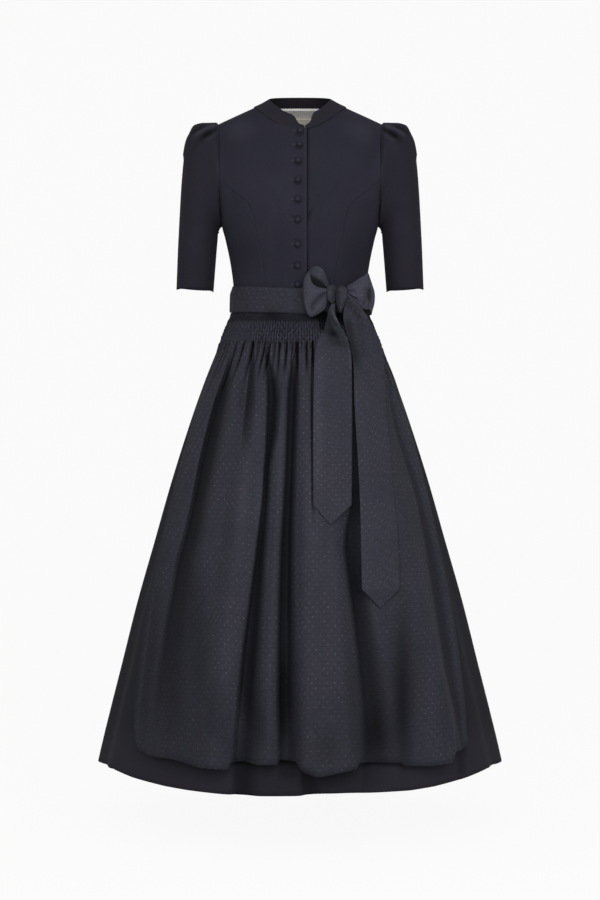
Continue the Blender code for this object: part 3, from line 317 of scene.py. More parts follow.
def real_place(x, z, y):
    """The point that shows at a place of the front view, at a depth."""
    shrink = (SIGHT + y) / SIGHT
    return Vector((x * shrink, y, SIGHT_Z + (z - SIGHT_Z) * shrink))


def shoulder_line(x):
    """Height of the shoulder seam at a distance from the middle, carried over the neck as an arch."""
    if abs(x) < NECK_HALF:
        return NECK_SIDE + NECK_ARCH * (1 - (x / NECK_HALF) ** 2)
    return NECK_SIDE - SHOULDER_SLOPE * (abs(x) - NECK_HALF)


def torso(angle, z):
    """A point on the outside of the bodice: angle in degrees from centre front, and height."""
    across = math.sin(math.radians(angle))
    x = read(TORSO, "half_width", z) * across
    squareness = read(TORSO, "squareness", z)
    below = max(shoulder_line(x) - z, 0.0)
    rounding = math.sqrt(1 - (1 - min(below / SHOULDER_ROUND, 1.0)) ** 2)
    depth = max(1 - abs(across) ** squareness, 0.0) ** (1 / squareness) * rounding
    if math.cos(math.radians(angle)) > 0:
        return Vector((x, -depth * read(TORSO, "front_depth", z), z))
    return Vector((x, depth * read(TORSO, "back_depth", z), z))


def torso_angle(x, z):
    """The angle at which the front of the bodice is x from the middle."""
    return math.degrees(math.asin(min(max(x / read(TORSO, "half_width", z), -1.0), 1.0)))


def torso_normal(angle, z):
    """The outward direction of the bodice at an angle and a height."""
    x = torso(angle, z).x
    if shoulder_line(x) - z < CREST:
        return Vector((math.copysign(SHOULDER_SLOPE, x), 0, 1)).normalized()
    across = torso(angle + TURN_STEP, z) - torso(angle - TURN_STEP, z)
    up = torso(angle, z + RISE_STEP) - torso(angle, z - RISE_STEP)
    return across.cross(up).normalized()


def on_torso(angle, z, out):
    """A point of the bodice moved out by a distance."""
    return torso(angle, z) + torso_normal(angle, z) * out


def armhole_place(turn):
    """A place on the front of the armhole, turning from 0 at the shoulder tip to 180 at the armpit."""
    z = ARMHOLE_MIDDLE + ARMHOLE_HALF * math.cos(math.radians(turn))
    return torso_angle(read(ARMHOLE, "x", z), z), z


def armhole_line(start, end):
    """Places along the front of the armhole."""
    return [armhole_place(start + (end - start) * k / ARMHOLE_STEPS) for k in range(ARMHOLE_STEPS + 1)]


def armhole_point(turn):
    """A point of the armhole seam all round: 0 at the shoulder tip, 90 in front, 180 at the armpit."""
    wrapped = turn % 360
    if wrapped <= 180:
        angle, z = armhole_place(wrapped)
    else:
        angle, z = armhole_place(360 - wrapped)
        angle = 180 - angle
    return torso(angle, z) + Vector((SEAM_GAP, 0, 0))


def side_line():
    """Places down the side seam."""
    return [(90.0, ARMPIT + (WAIST - ARMPIT) * k / SIDE_STEPS) for k in range(SIDE_STEPS + 1)]


def front_neck_z(x):
    """Height of the front neck seam at a distance from the middle."""
    return NECK_FRONT + (NECK_SIDE - NECK_FRONT) * (x / NECK_HALF) ** 2


def behind(places):
    """The same places on the back of the bodice."""
    return [(180 - angle, z) for angle, z in places]


def sleeve_point(ring, turn):
    """A point of a sleeve ring at a turn from its outer point."""
    angle = math.radians(turn)
    middle = Vector((ring.outer_x + ring.under_x, 0, ring.outer_z + ring.under_z)) / 2
    half = Vector((ring.outer_x - ring.under_x, 0, ring.outer_z - ring.under_z)) / 2
    power = 2 / SLEEVE_SQUARENESS
    along_ring = math.copysign(abs(math.cos(angle)) ** power, math.cos(angle))
    depth = abs(math.sin(angle)) ** power
    reach = -ring.front * depth if math.sin(angle) > 0 else ring.back * depth
    return middle + half * along_ring + Vector((0, reach, 0))


def fold_raise(folds, angle, z):
    """How far a fold stands out at an angle and a height, from a table of crests and valleys."""
    low_share = min(max((FOLD_HIGH - z) / (FOLD_HIGH - FOLD_LOW), 0.0), 1.0)
    growth = ease((FOLD_START - z) / (FOLD_START - FOLD_HIGH))
    lines = []
    for fold in folds:
        place = fold.high_angle + (fold.low_angle - fold.high_angle) * low_share
        rise = fold.high_raise + (fold.low_raise - fold.high_raise) * low_share
        lines.append((place, rise * growth))
    if angle <= lines[0][0]:
        return lines[0][1]
    if angle >= lines[-1][0]:
        return lines[-1][1]
    i = next(k for k in range(len(lines) - 1) if lines[k + 1][0] >= angle)
    (a, low), (b, high) = lines[i], lines[i + 1]
    return low + (high - low) * ease((angle - a) / (b - a))


def skirt_form(angle, z, out):
    """The plan of the skirt at a height, moved out: an oval that grows slightly pointed at the sides."""
    sine, cosine = math.sin(math.radians(angle)), math.cos(math.radians(angle))
    power = 1 + HEM_POINT * min(max((SKIRT_TOP - z) / (SKIRT_TOP - HEM), 0.0), 1.0)
    depth = read(SKIRT, "front_depth" if cosine > 0 else "back_depth", z)
    x = (read(SKIRT, "half_width", z) + out) * math.copysign(abs(sine) ** power, sine)
    y = -(depth + out) * math.copysign(abs(cosine) ** power, cosine)
    return Vector((x, y, z))


def skirt_angle(x, z, out):
    """The angle at which the skirt's form, moved out, is x from the middle."""
    power = 1 + HEM_POINT * (SKIRT_TOP - z) / (SKIRT_TOP - HEM)
    share = min(abs(x) / (read(SKIRT, "half_width", z) + out), 1.0)
    return math.copysign(math.degrees(math.asin(share ** (1 / power))), x)


def apron_reach(z, left_x, right_x):
    """How far out of the skirt's form the apron stands between two places at a height."""
    reach = 0.0
    for k in range(REACH_STEPS + 1):
        x = left_x + (right_x - left_x) * k / REACH_STEPS
        angle = skirt_angle(x, z, APRON_CLEAR)
        reach = max(reach, APRON_CLEAR + fold_raise(APRON_FOLDS, angle, z))
    return reach


def band_edge(column, angle):
    """Height of the band's top or low edge at an angle."""
    return read(BAND, column, abs((angle + 180) % 360 - 180))


def grid_normals(rows):
    """The outward direction at each point of a grid whose rows run down and columns anticlockwise from above."""
    last = len(rows[0]) - 1
    normals = []
    for i, row in enumerate(rows):
        above, below = rows[max(i - 1, 0)], rows[min(i + 1, len(rows) - 1)]
        line = []
        for j in range(last + 1):
            run = row[min(j + 1, last)] - row[max(j - 1, 0)]
            line.append(run.cross(above[j] - below[j]).normalized())
        normals.append(line)
    return normals


# How finely the cloths are laid out, and how a seam draws them in
PANEL_STEP = 0.005
SEAM_STEPS_NEAR = (0.0, 0.0008, 0.0018, 0.0034)
SEAM_DIP = 0.0005
SEAM_REACH = 0.0036
SLEEVE_TURNS = 180
SLEEVE_SUBROWS = 8
# How much of its colour a cloth loses to the painted shade in its folds
PAINTED_SHADE_STRENGTH = 0.66


# Sizes and colours


class DirndlSizes(bpy.types.PropertyGroup):
    """Sizes of the cloth, the sewing and the weave."""

    cloth_thickness: FloatProperty(
        name="Cloth thickness", description="Thickness of the bodice and skirt cloth", default=0.0012, unit="LENGTH"
    )
    apron_thickness: FloatProperty(
        name="Apron cloth thickness", description="Thickness of the jacquard", default=0.0008, unit="LENGTH"
    )
    thread: FloatProperty(
        name="Thread", description="Distance between the threads of the bodice cloth", default=0.0011, unit="LENGTH"
    )
    dot_across: FloatProperty(
        name="Dots across", description="Distance between the dots along a row", default=0.0142, unit="LENGTH"
    )
    dot_down: FloatProperty(
        name="Dots down", description="Distance between the rows of dots", default=0.0088, unit="LENGTH"
    )
    dot_radius: FloatProperty(name="Dot radius", description="Radius of a woven dot", default=0.0014, unit="LENGTH")
    rib_pitch: FloatProperty(
        name="Rib pitch", description="Distance between the ribs of the jacquard", default=0.0035, unit="LENGTH"
    )
    stripe_pitch: FloatProperty(
        name="Stripe pitch", description="Distance between the stripes of the lining", default=0.0046, unit="LENGTH"
    )


class DirndlColors(bpy.types.PropertyGroup):
    """Colours of the cloths."""

    bodice: FloatVectorProperty(
        name="Bodice", description="Colour of the bodice cloth", subtype="COLOR", default=(0.0235, 0.0235, 0.0355)
    )
    sleeve: FloatVectorProperty(
        name="Sleeve", description="Colour of the sleeve cloth", subtype="COLOR", default=(0.020, 0.0192, 0.0275)
    )
    collar: FloatVectorProperty(
        name="Collar", description="Colour of the collar cloth", subtype="COLOR", default=(0.0220, 0.0212, 0.0290)
    )
    skirt: FloatVectorProperty(
        name="Skirt", description="Colour of the skirt cloth", subtype="COLOR", default=(0.0215, 0.0200, 0.0268)
    )
    apron: FloatVectorProperty(
        name="Apron", description="Ground colour of the jacquard", subtype="COLOR", default=(0.0337, 0.0351, 0.0478)
    )
    dot: FloatVectorProperty(
        name="Dot", description="Colour of the woven dots", subtype="COLOR", default=(0.085, 0.09, 0.118)
    )
    lining: FloatVectorProperty(
        name="Lining", description="Colour of the lining", subtype="COLOR", default=(0.93, 0.92, 0.89)
    )
    stripe: FloatVectorProperty(
        name="Stripe", description="Colour of the lining's stripes", subtype="COLOR", default=(0.86, 0.85, 0.81)
    )
    label: FloatVectorProperty(
        name="Label", description="Colour of the label tape", subtype="COLOR", default=(0.88, 0.86, 0.70)
    )


class DirndlStage(bpy.types.PropertyGroup):
    """Camera, floor and lights."""

    camera_distance: FloatProperty(
        name="Camera distance", description="From the camera to the wearer's middle", default=3.95, unit="LENGTH"
    )
    camera_height: FloatProperty(
        name="Camera height", description="Height of the camera under the shoulders", default=-0.664, unit="LENGTH"
    )
    focal_length: FloatProperty(name="Focal length", description="Focal length of the lens in mm", default=79.0)
    floor_height: FloatProperty(
        name="Floor height", description="Height of the floor under the shoulders", default=-1.40, unit="LENGTH"
    )
    key_power: FloatProperty(name="Key light", description="Power of the main light", default=22.0, unit="POWER")
    fill_power: FloatProperty(name="Fill light", description="Power of the fill light", default=22.0, unit="POWER")
    daylight: FloatProperty(name="Daylight", description="Even light from all round", default=0.42)
    backdrop_glow: FloatProperty(
        name="Backdrop glow", description="How brightly the backdrop is lit from behind", default=0.93
    )


# Shader nodes


def calc(tree, operation, *values):
    """A math node, fed with numbers or sockets."""
    node = tree.nodes.new("ShaderNodeMath")
    node.operation = operation
    for socket, value in zip(node.inputs, values):
        if isinstance(value, bpy.types.NodeSocket):
            tree.links.new(value, socket)
        else:
            socket.default_value = value
    return node.outputs[0]


def effect(name, inputs, outputs):
    """An empty shader node group with named sockets."""
    tree = bpy.data.node_groups.new(name, "ShaderNodeTree")
    for label, kind in inputs:
        tree.interface.new_socket(name=label, in_out="INPUT", socket_type=kind)
    for label, kind in outputs:
        tree.interface.new_socket(name=label, in_out="OUTPUT", socket_type=kind)
    return tree, tree.nodes.new("NodeGroupInput"), tree.nodes.new("NodeGroupOutput")


def across_and_down(tree, socket):
    """The two parts of a place in the cloth."""
    split = tree.nodes.new("ShaderNodeSeparateXYZ")
    tree.links.new(socket, split.inputs[0])
    return split.outputs[0], split.outputs[1]


def plain_weave():
    """Threads that pass over and under each other."""
    tree, given, made = effect(
        "Plain weave", [("Cloth", "NodeSocketVector"), ("Thread", "NodeSocketFloat")], [("Height", "NodeSocketFloat")]
    )
    u, v = across_and_down(tree, given.outputs["Cloth"])
    turn_u = calc(tree, "MULTIPLY", calc(tree, "DIVIDE", u, given.outputs["Thread"]), math.pi)
    turn_v = calc(tree, "MULTIPLY", calc(tree, "DIVIDE", v, given.outputs["Thread"]), math.pi)
    warp = calc(tree, "SINE", turn_u)
    weft = calc(tree, "SINE", turn_v)
    crossing = calc(tree, "MULTIPLY", warp, weft)
    tree.links.new(calc(tree, "MULTIPLY_ADD", crossing, 0.5, 0.5), made.inputs["Height"])
    return tree


def twill_weave():
    """Fine slanting lines over a plain weave."""
    tree, given, made = effect(
        "Twill weave", [("Cloth", "NodeSocketVector"), ("Thread", "NodeSocketFloat")], [("Height", "NodeSocketFloat")]
    )
    u, v = across_and_down(tree, given.outputs["Cloth"])
    slant = calc(tree, "ADD", u, calc(tree, "MULTIPLY", v, 0.75))
    wave = calc(tree, "SINE", calc(tree, "MULTIPLY", calc(tree, "DIVIDE", slant, given.outputs["Thread"]), math.pi))
    weft = calc(tree, "SINE", calc(tree, "MULTIPLY", calc(tree, "DIVIDE", v, given.outputs["Thread"]), 2 * math.pi))
    both = calc(tree, "MULTIPLY_ADD", weft, 0.25, calc(tree, "MULTIPLY", wave, 0.75))
    tree.links.new(calc(tree, "MULTIPLY_ADD", both, 0.5, 0.5), made.inputs["Height"])
    return tree


def dot_rows():
    """Round dots in rows, every second row shifted by half a step."""
    tree, given, made = effect(
        "Dot rows",
        [
            ("Cloth", "NodeSocketVector"),
            ("Across", "NodeSocketFloat"),
            ("Down", "NodeSocketFloat"),
            ("Radius", "NodeSocketFloat"),
        ],
        [("Mask", "NodeSocketFloat")],
    )
    u, v = across_and_down(tree, given.outputs["Cloth"])
    across, down, radius = (given.outputs[name] for name in ("Across", "Down", "Radius"))
    row = calc(tree, "DIVIDE", v, down)
    shift = calc(tree, "MULTIPLY", calc(tree, "FLOORED_MODULO", calc(tree, "FLOOR", row), 2.0), 0.5)
    place = calc(tree, "ADD", calc(tree, "DIVIDE", u, across), shift)
    from_side = calc(tree, "MULTIPLY", calc(tree, "SUBTRACT", calc(tree, "FRACT", place), 0.5), across)
    from_row = calc(tree, "MULTIPLY", calc(tree, "SUBTRACT", calc(tree, "FRACT", row), 0.5), down)
    side_square = calc(tree, "MULTIPLY", from_side, from_side)
    row_square = calc(tree, "MULTIPLY", from_row, from_row)
    square = calc(tree, "ADD", side_square, row_square)
    reach = calc(tree, "DIVIDE", calc(tree, "SQRT", square), radius)
    mask = calc(tree, "MULTIPLY", calc(tree, "SUBTRACT", 1.45, reach), 1.15)
    mask.node.use_clamp = True
    cell = tree.nodes.new("ShaderNodeCombineXYZ")
    tree.links.new(calc(tree, "FLOOR", place), cell.inputs[0])
    tree.links.new(calc(tree, "FLOOR", row), cell.inputs[1])
    chance = tree.nodes.new("ShaderNodeTexWhiteNoise")
    chance.noise_dimensions = "2D"
    tree.links.new(cell.outputs[0], chance.inputs["Vector"])
    strength = calc(tree, "MULTIPLY_ADD", calc(tree, "POWER", chance.outputs["Value"], 1.1), 0.80, 0.20)
    tree.links.new(calc(tree, "MULTIPLY", mask, strength), made.inputs["Mask"])
    return tree


def rib_lines():
    """Fine ribs that run across the cloth, broken into uneven dashes."""
    tree, given, made = effect(
        "Ribs", [("Cloth", "NodeSocketVector"), ("Pitch", "NodeSocketFloat")], [("Height", "NodeSocketFloat")]
    )
    u, v = across_and_down(tree, given.outputs["Cloth"])
    turn = calc(tree, "MULTIPLY", calc(tree, "DIVIDE", v, given.outputs["Pitch"]), 2 * math.pi)
    rib = calc(tree, "MULTIPLY_ADD", calc(tree, "SINE", turn), 0.5, 0.5)
    place = tree.nodes.new("ShaderNodeCombineXYZ")
    tree.links.new(calc(tree, "MULTIPLY", u, 70.0), place.inputs[0])
    tree.links.new(calc(tree, "MULTIPLY", v, 330.0), place.inputs[1])
    dash = tree.nodes.new("ShaderNodeTexNoise")
    dash.inputs["Scale"].default_value = 1.0
    dash.inputs["Detail"].default_value = 2.0
    tree.links.new(place.outputs[0], dash.inputs["Vector"])
    broken = calc(tree, "MULTIPLY_ADD", dash.outputs["Fac"], 4.0, -1.5)
    broken.node.use_clamp = True
    low = calc(tree, "MULTIPLY", calc(tree, "SUBTRACT", 1.0, rib), broken)
    tree.links.new(calc(tree, "SUBTRACT", 1.0, low), made.inputs["Height"])
    return tree


def stripe_lines():
    """Soft stripes that run down the cloth."""
    tree, given, made = effect(
        "Stripes", [("Cloth", "NodeSocketVector"), ("Pitch", "NodeSocketFloat")], [("Mask", "NodeSocketFloat")]
    )
    u, _ = across_and_down(tree, given.outputs["Cloth"])
    turn = calc(tree, "MULTIPLY", calc(tree, "DIVIDE", u, given.outputs["Pitch"]), 2 * math.pi)
    mask = calc(tree, "MULTIPLY_ADD", calc(tree, "SINE", turn), 1.6, 0.4)
    mask.node.use_clamp = True
    tree.links.new(mask, made.inputs["Mask"])
    return tree


def cloudiness():
    """Uneven dye and nap, coarse and fine."""
    tree, given, made = effect(
        "Cloudy dye", [("Place", "NodeSocketVector"), ("Fine", "NodeSocketFloat")], [("Value", "NodeSocketFloat")]
    )
    coarse = tree.nodes.new("ShaderNodeTexNoise")
    coarse.inputs["Scale"].default_value = 14.0
    coarse.inputs["Detail"].default_value = 3.0
    fine = tree.nodes.new("ShaderNodeTexNoise")
    fine.inputs["Detail"].default_value = 4.0
    tree.links.new(given.outputs["Place"], coarse.inputs["Vector"])
    tree.links.new(given.outputs["Place"], fine.inputs["Vector"])
    tree.links.new(given.outputs["Fine"], fine.inputs["Scale"])
    both = calc(tree, "MULTIPLY_ADD", coarse.outputs["Fac"], 0.45, calc(tree, "MULTIPLY", fine.outputs["Fac"], 0.55))
    tree.links.new(both, made.inputs["Value"])
    return tree


GROUPS = {
    "weave": plain_weave,
    "twill": twill_weave,
    "dots": dot_rows,
    "ribs": rib_lines,
    "stripes": stripe_lines,
    "cloudy": cloudiness,
}
MADE_GROUPS = {}
# How the parts of a colour change where the dye leans to violet
VIOLET_LEAN = (1.08, 0.99, 1.0)


def placed(tree, kind, cloth, **values):
    """A node group in a material, with its own values."""
    if kind not in MADE_GROUPS:
        MADE_GROUPS[kind] = GROUPS[kind]()
    node = tree.nodes.new("ShaderNodeGroup")
    node.node_tree = MADE_GROUPS[kind]
    tree.links.new(cloth, node.inputs[0])
    for name, value in values.items():
        node.inputs[name].default_value = value
    return node.outputs[0]


def mixed(tree, factor, first, second):
    """Two colours mixed by a factor, each a socket or a value."""
    node = tree.nodes.new("ShaderNodeMix")
    node.data_type = "RGBA"
    tree.links.new(factor, node.inputs["Factor"])
    for name, value in (("A", first), ("B", second)):
        socket = next(s for s in node.inputs if s.name == name and s.type == "RGBA")
        if isinstance(value, bpy.types.NodeSocket):
            tree.links.new(value, socket)
        else:
            socket.default_value = (*value, 1.0)
    return next(s for s in node.outputs if s.type == "RGBA")


def shaded(color, amount):
    """A colour made darker or lighter."""
    return tuple(c * amount for c in color)


def cloth_finish(name, roughness, sheen):
    """A new material with its shader, its cloth coordinates and its place."""
    material = bpy.data.materials.new(name)
    material.use_nodes = True
    tree = material.node_tree
    shader = tree.nodes["Principled BSDF"]
    shader.inputs["Roughness"].default_value = roughness
    shader.inputs["Specular IOR Level"].default_value = 0.08
    shader.inputs["Sheen Weight"].default_value = sheen
    shader.inputs["Sheen Roughness"].default_value = 0.45
    cloth = tree.nodes.new("ShaderNodeUVMap")
    cloth.uv_map = "cloth"
    place = tree.nodes.new("ShaderNodeTexCoord")
    return material, tree, shader, cloth.outputs["UV"], place.outputs["Object"]


def raised_by(tree, shader, height, distance, strength):
    """Gives a shader the relief of a height."""
    bump = tree.nodes.new("ShaderNodeBump")
    bump.inputs["Distance"].default_value = distance
    bump.inputs["Strength"].default_value = strength
    tree.links.new(height, bump.inputs["Height"])
    tree.links.new(bump.outputs["Normal"], shader.inputs["Normal"])


def with_painted_shade(tree, color):
    """Painted shade: the cloth's colour made darker down in the folds by the piece's own fold attribute, and lighter
    where it is below 0.
    """
    attribute = tree.nodes.new("ShaderNodeAttribute")
    attribute.attribute_name = "fold"
    keep = calc(tree, "MULTIPLY_ADD", attribute.outputs["Fac"], -PAINTED_SHADE_STRENGTH, 1.0)
    node = tree.nodes.new("ShaderNodeMix")
    node.data_type = "RGBA"
    node.blend_type = "MULTIPLY"
    node.inputs["Factor"].default_value = 1.0
    first, second = (next(x for x in node.inputs if x.name == n and x.type == "RGBA") for n in "AB")
    tree.links.new(color, first)
    tree.links.new(keep, second)
    return next(x for x in node.outputs if x.type == "RGBA")


def tinge(tree, place):
    """Where the dye leans to violet, in broad soft patches."""
    value = calc(tree, "MULTIPLY_ADD", placed(tree, "cloudy", place, Fine=9.0), 6.0, -2.55)
    value.node.use_clamp = True
    return value


def tinged(color, share):
    """A colour made darker or lighter, leaning to violet."""
    return tuple(c * share * lean for c, lean in zip(color, VIOLET_LEAN))


def wool_finish(name, color, thread, roughness=0.88):
    """Matt woollen cloth with a fine twill and uneven dye."""
    material, tree, shader, cloth, place = cloth_finish(name, roughness, 0.02)
    cloudy = placed(tree, "cloudy", place, Fine=420.0)
    twill = placed(tree, "twill", cloth, Thread=thread)
    tone = calc(tree, "MULTIPLY_ADD", twill, 0.35, calc(tree, "MULTIPLY", cloudy, 0.9))
    dyed = mixed(tree, tone, shaded(color, 0.72), shaded(color, 1.34))
    dyed = mixed(tree, tinge(tree, place), dyed, mixed(tree, tone, tinged(color, 0.72), tinged(color, 1.34)))
    tree.links.new(with_painted_shade(tree, dyed), shader.inputs["Base Color"])
    raised_by(tree, shader, calc(tree, "MULTIPLY_ADD", cloudy, 0.8, twill), 0.00022, 0.6)
    return material


def jacquard_finish(name, color, dot, sizes, dot_strength=0.9):
    """Ribbed jacquard with small light dots, a little lustrous."""
    material, tree, shader, cloth, place = cloth_finish(name, 0.62, 0.03)
    cloudy = placed(tree, "cloudy", place, Fine=260.0)
    ribs = placed(tree, "ribs", cloth, Pitch=sizes.rib_pitch)
    weave = placed(tree, "weave", cloth, Thread=0.0007)
    dots = placed(tree, "dots", cloth, Across=sizes.dot_across, Down=sizes.dot_down, Radius=sizes.dot_radius)
    tone = calc(tree, "MULTIPLY_ADD", ribs, 0.42, calc(tree, "MULTIPLY", cloudy, 1.05))
    level = calc(tree, "SUBTRACT", tone, 0.34)
    ground = mixed(tree, level, shaded(color, 0.66), shaded(color, 1.42))
    ground = mixed(tree, tinge(tree, place), ground, mixed(tree, level, tinged(color, 0.62), tinged(color, 1.34)))
    fade = calc(tree, "MULTIPLY_ADD", placed(tree, "cloudy", place, Fine=60.0), 5.0, -1.8)
    fade.node.use_clamp = True
    speck = calc(tree, "MULTIPLY", calc(tree, "MULTIPLY", dots, dot_strength), fade)
    # The dots are dimmed where the fold attribute's painted shade lies
    attribute = tree.nodes.new("ShaderNodeAttribute")
    attribute.attribute_name = "fold"
    shown = calc(tree, "MULTIPLY_ADD", attribute.outputs["Fac"], -0.9, 1.1)
    shown.node.use_clamp = True
    speck = calc(tree, "MULTIPLY", speck, shown)
    dotted = mixed(tree, speck, ground, dot)
    tree.links.new(with_painted_shade(tree, dotted), shader.inputs["Base Color"])
    tree.links.new(calc(tree, "MULTIPLY_ADD", dots, -0.22, 0.64), shader.inputs["Roughness"])
    height = calc(tree, "MULTIPLY_ADD", ribs, 0.7, calc(tree, "MULTIPLY_ADD", weave, 0.25, dots))
    raised_by(tree, shader, height, 0.00030, 0.7)
    return material


def plain_finish(name, color):
    """Plain woven cloth."""
    material, tree, shader, cloth, place = cloth_finish(name, 0.80, 0.01)
    cloudy = placed(tree, "cloudy", place, Fine=300.0)
    weave = placed(tree, "weave", cloth, Thread=0.0008)
    tone = calc(tree, "MULTIPLY_ADD", weave, 0.25, calc(tree, "MULTIPLY", cloudy, 0.9))
    dyed = mixed(tree, tone, shaded(color, 0.78), shaded(color, 1.24))
    tree.links.new(with_painted_shade(tree, dyed), shader.inputs["Base Color"])
    raised_by(tree, shader, calc(tree, "ADD", weave, cloudy), 0.00018, 0.5)
    return material


def lining_finish(colors, sizes):
    """Smooth ivory lining with fine stripes."""
    material, tree, shader, cloth, place = cloth_finish("Striped lining", 0.55, 0.0)
    stripes = placed(tree, "stripes", cloth, Pitch=sizes.stripe_pitch)
    cloudy = placed(tree, "cloudy", place, Fine=300.0)
    ground = mixed(tree, cloudy, shaded(colors.lining, 0.92), shaded(colors.lining, 1.05))
    tree.links.new(mixed(tree, stripes, ground, tuple(colors.stripe)), shader.inputs["Base Color"])
    raised_by(tree, shader, placed(tree, "weave", cloth, Thread=0.0005), 0.0001, 0.4)
    return material


def label_finish(colors):
    """Blank woven tape."""
    material, tree, shader, cloth, place = cloth_finish("Label tape", 0.5, 0.0)
    cloudy = placed(tree, "cloudy", place, Fine=500.0)
    dyed = mixed(tree, cloudy, shaded(colors.label, 0.88), shaded(colors.label, 1.1))
    tree.links.new(dyed, shader.inputs["Base Color"])
    raised_by(tree, shader, placed(tree, "weave", cloth, Thread=0.0006), 0.00012, 0.6)
    return material


def button_finish(color, thread):
    """The bodice cloth drawn tight over a button, a little smoother."""
    material = wool_finish("Button wool", color, thread, roughness=0.8)
    material.node_tree.nodes["Principled BSDF"].inputs["Specular IOR Level"].default_value = 0.15
    return material


@lru_cache(maxsize=None)
def finish(kind):
    """The material of one kind of cloth, made once."""
    colors, sizes = bpy.context.scene.dirndl_colors, bpy.context.scene.dirndl_sizes
    makers = {
        "bodice": lambda: wool_finish("Bodice wool", colors.bodice, sizes.thread),
        "sleeve": lambda: wool_finish("Sleeve wool", colors.sleeve, sizes.thread),
        "collar": lambda: wool_finish("Collar wool", colors.collar, sizes.thread),
        # The collar's inner face is the collar wool made darker: painted shade
        "facing": lambda: wool_finish("Collar facing", shaded(colors.collar, 0.62), sizes.thread),
        "button": lambda: button_finish(colors.bodice, sizes.thread),
        # The buttonhole thread is the bodice wool made lighter: painted highlights
        "thread": lambda: wool_finish("Buttonhole thread", shaded(colors.bodice, 2.3), 0.0004, roughness=0.6),
        "skirt": lambda: plain_finish("Skirt cloth", colors.skirt),
        "apron": lambda: jacquard_finish("Apron jacquard", colors.apron, colors.dot, sizes),
        "tie": lambda: jacquard_finish("Tie jacquard", shaded(colors.apron, 1.12), colors.dot, sizes),
        # The loops' jacquard is the apron's made lighter than the tie's: painted light
        "loop": lambda: jacquard_finish("Loop jacquard", shaded(colors.apron, 1.38), colors.dot, sizes, 0.8),
        # The jacquard round the waist is the apron's made darker, with darker dots: painted shade
        "band": lambda: jacquard_finish("Band jacquard", shaded(colors.apron, 0.92), shaded(colors.dot, 0.8), sizes),
        "lining": lambda: lining_finish(colors, sizes),
        "label": lambda: label_finish(colors),
    }
    return makers[kind]()


# Cloth


def spread(length, step):
    """Shares of a length: even steps, with closer ones by both ends."""
    last = SEAM_STEPS_NEAR[-1]
    outer = SEAM_STEPS_NEAR[:-1]
    count = max(round((length - 2 * last) / step), 2)
    inner = [last + (length - 2 * last) * k / count for k in range(count + 1)]
    places = list(outer) + inner + [length - d for d in reversed(outer)]
    return [place / length for place in places]


def line_through(places):
    """A line through places, as a function of its share."""

    def at(share):
        spot = min(max(share, 0.0), 1.0) * (len(places) - 1)
        i = min(int(spot), len(places) - 2)
        return tuple(a + (b - a) * (spot - i) for a, b in zip(places[i], places[i + 1]))

    return at


def patch(outline, across, down):
    """Rows of places inside four lines, at shares across and down: the top, low, left and right line."""
    top, low, left, right = (line_through(line) for line in outline)
    rows = []
    for v in down:
        row = []
        for u in across:
            place = []
            for k in (0, 1):
                edges = (1 - v) * top(u)[k] + v * low(u)[k] + (1 - u) * left(v)[k] + u * right(v)[k]
                low_corners = (1 - u) * low(0)[k] + u * low(1)[k]
                corners = (1 - v) * ((1 - u) * top(0)[k] + u * top(1)[k]) + v * low_corners
                place.append(edges - corners)
            row.append(tuple(place))
        rows.append(row)
    return rows


def cloth_places(rows, middle=None):
    """Where each point lies in the flat cloth, in metres: across from the middle column, and down."""
    count = len(rows[0])
    middle = count // 2 if middle is None else middle
    across = []
    for row in rows:
        lengths = lengths_along(row)
        across.append([length - lengths[middle] for length in lengths])
    down = [lengths_along([row[j] for row in rows]) for j in range(count)]
    return [[(across[i][j], -down[j][i]) for j in range(count)] for i in range(len(rows))]


def nearness(rows, sides):
    """How near each point is to the named sides: 1 on them and 0 or less from the seam's reach on."""
    near = [[0.0] * len(row) for row in rows]
    for start, end, lines in (("left", "right", rows), ("top", "low", list(zip(*rows)))):
        for i, line in enumerate(lines):
            lengths = lengths_along(line)
            for j, length in enumerate(lengths):
                row, column = (i, j) if lines is rows else (j, i)
                if start in sides:
                    near[row][column] = max(near[row][column], 1 - length / SEAM_REACH)
                if end in sides:
                    near[row][column] = max(near[row][column], 1 - (lengths[-1] - length) / SEAM_REACH)
    return near


def crease_height(laid, x, z):
    """How far the cloth is pushed in or out at a place by the creases laid over it."""
    height = 0.0
    for crease in laid:
        best, place, total = None, 0.0, 0.0
        for (ax, az), (bx, bz) in zip(crease.points, crease.points[1:]):
            run_x, run_z = bx - ax, bz - az
            length = math.hypot(run_x, run_z)
            t = min(max(((x - ax) * run_x + (z - az) * run_z) / length**2, 0.0), 1.0)
            away = math.hypot(x - ax - t * run_x, z - az - t * run_z)
            if best is None or away < best:
                best, place = away, total + t * length
            total += length
        if best < 4 * crease.width:
            end = min(place, total - place) / (3 * crease.width) if total > 8 * crease.width else 1.0
            height += crease.depth * math.exp(-((best / crease.width) ** 2)) * (0.15 + 0.85 * ease(end))
    return height


def raised(rows, amounts):
    """A grid of points moved out by an amount each."""
    normals = grid_normals(rows)
    return [[p + n * a for p, n, a in zip(*line)] for line in zip(rows, normals, amounts)]


def creased(rows, laid, front=True, pinned=0.0):
    """A grid of points with creases on its front or on its back, kept off its top seam by a distance."""
    amounts = []
    columns = [lengths_along([row[j] for row in rows]) for j in range(len(rows[0]))]
    for i, row in enumerate(rows):
        line = []
        for j, p in enumerate(row):
            height = crease_height(laid, *front_view(p)) if (p.y < 0) == front else 0.0
            line.append(height * (ease(columns[j][i] / pinned) if pinned else 1.0))
        amounts.append(line)
    return raised(rows, amounts)


def shade_along(strokes, point):
    """How deep in shade a point lies by soft strokes laid over the front."""
    return crease_height(strokes, *front_view(point)) if point.y < 0.02 else 0.0


def flipped(rows):
    """The mirror image of a grid of points, with its columns in the same turning order."""
    return [[Vector((-p.x, p.y, p.z)) for p in reversed(row)] for row in rows]


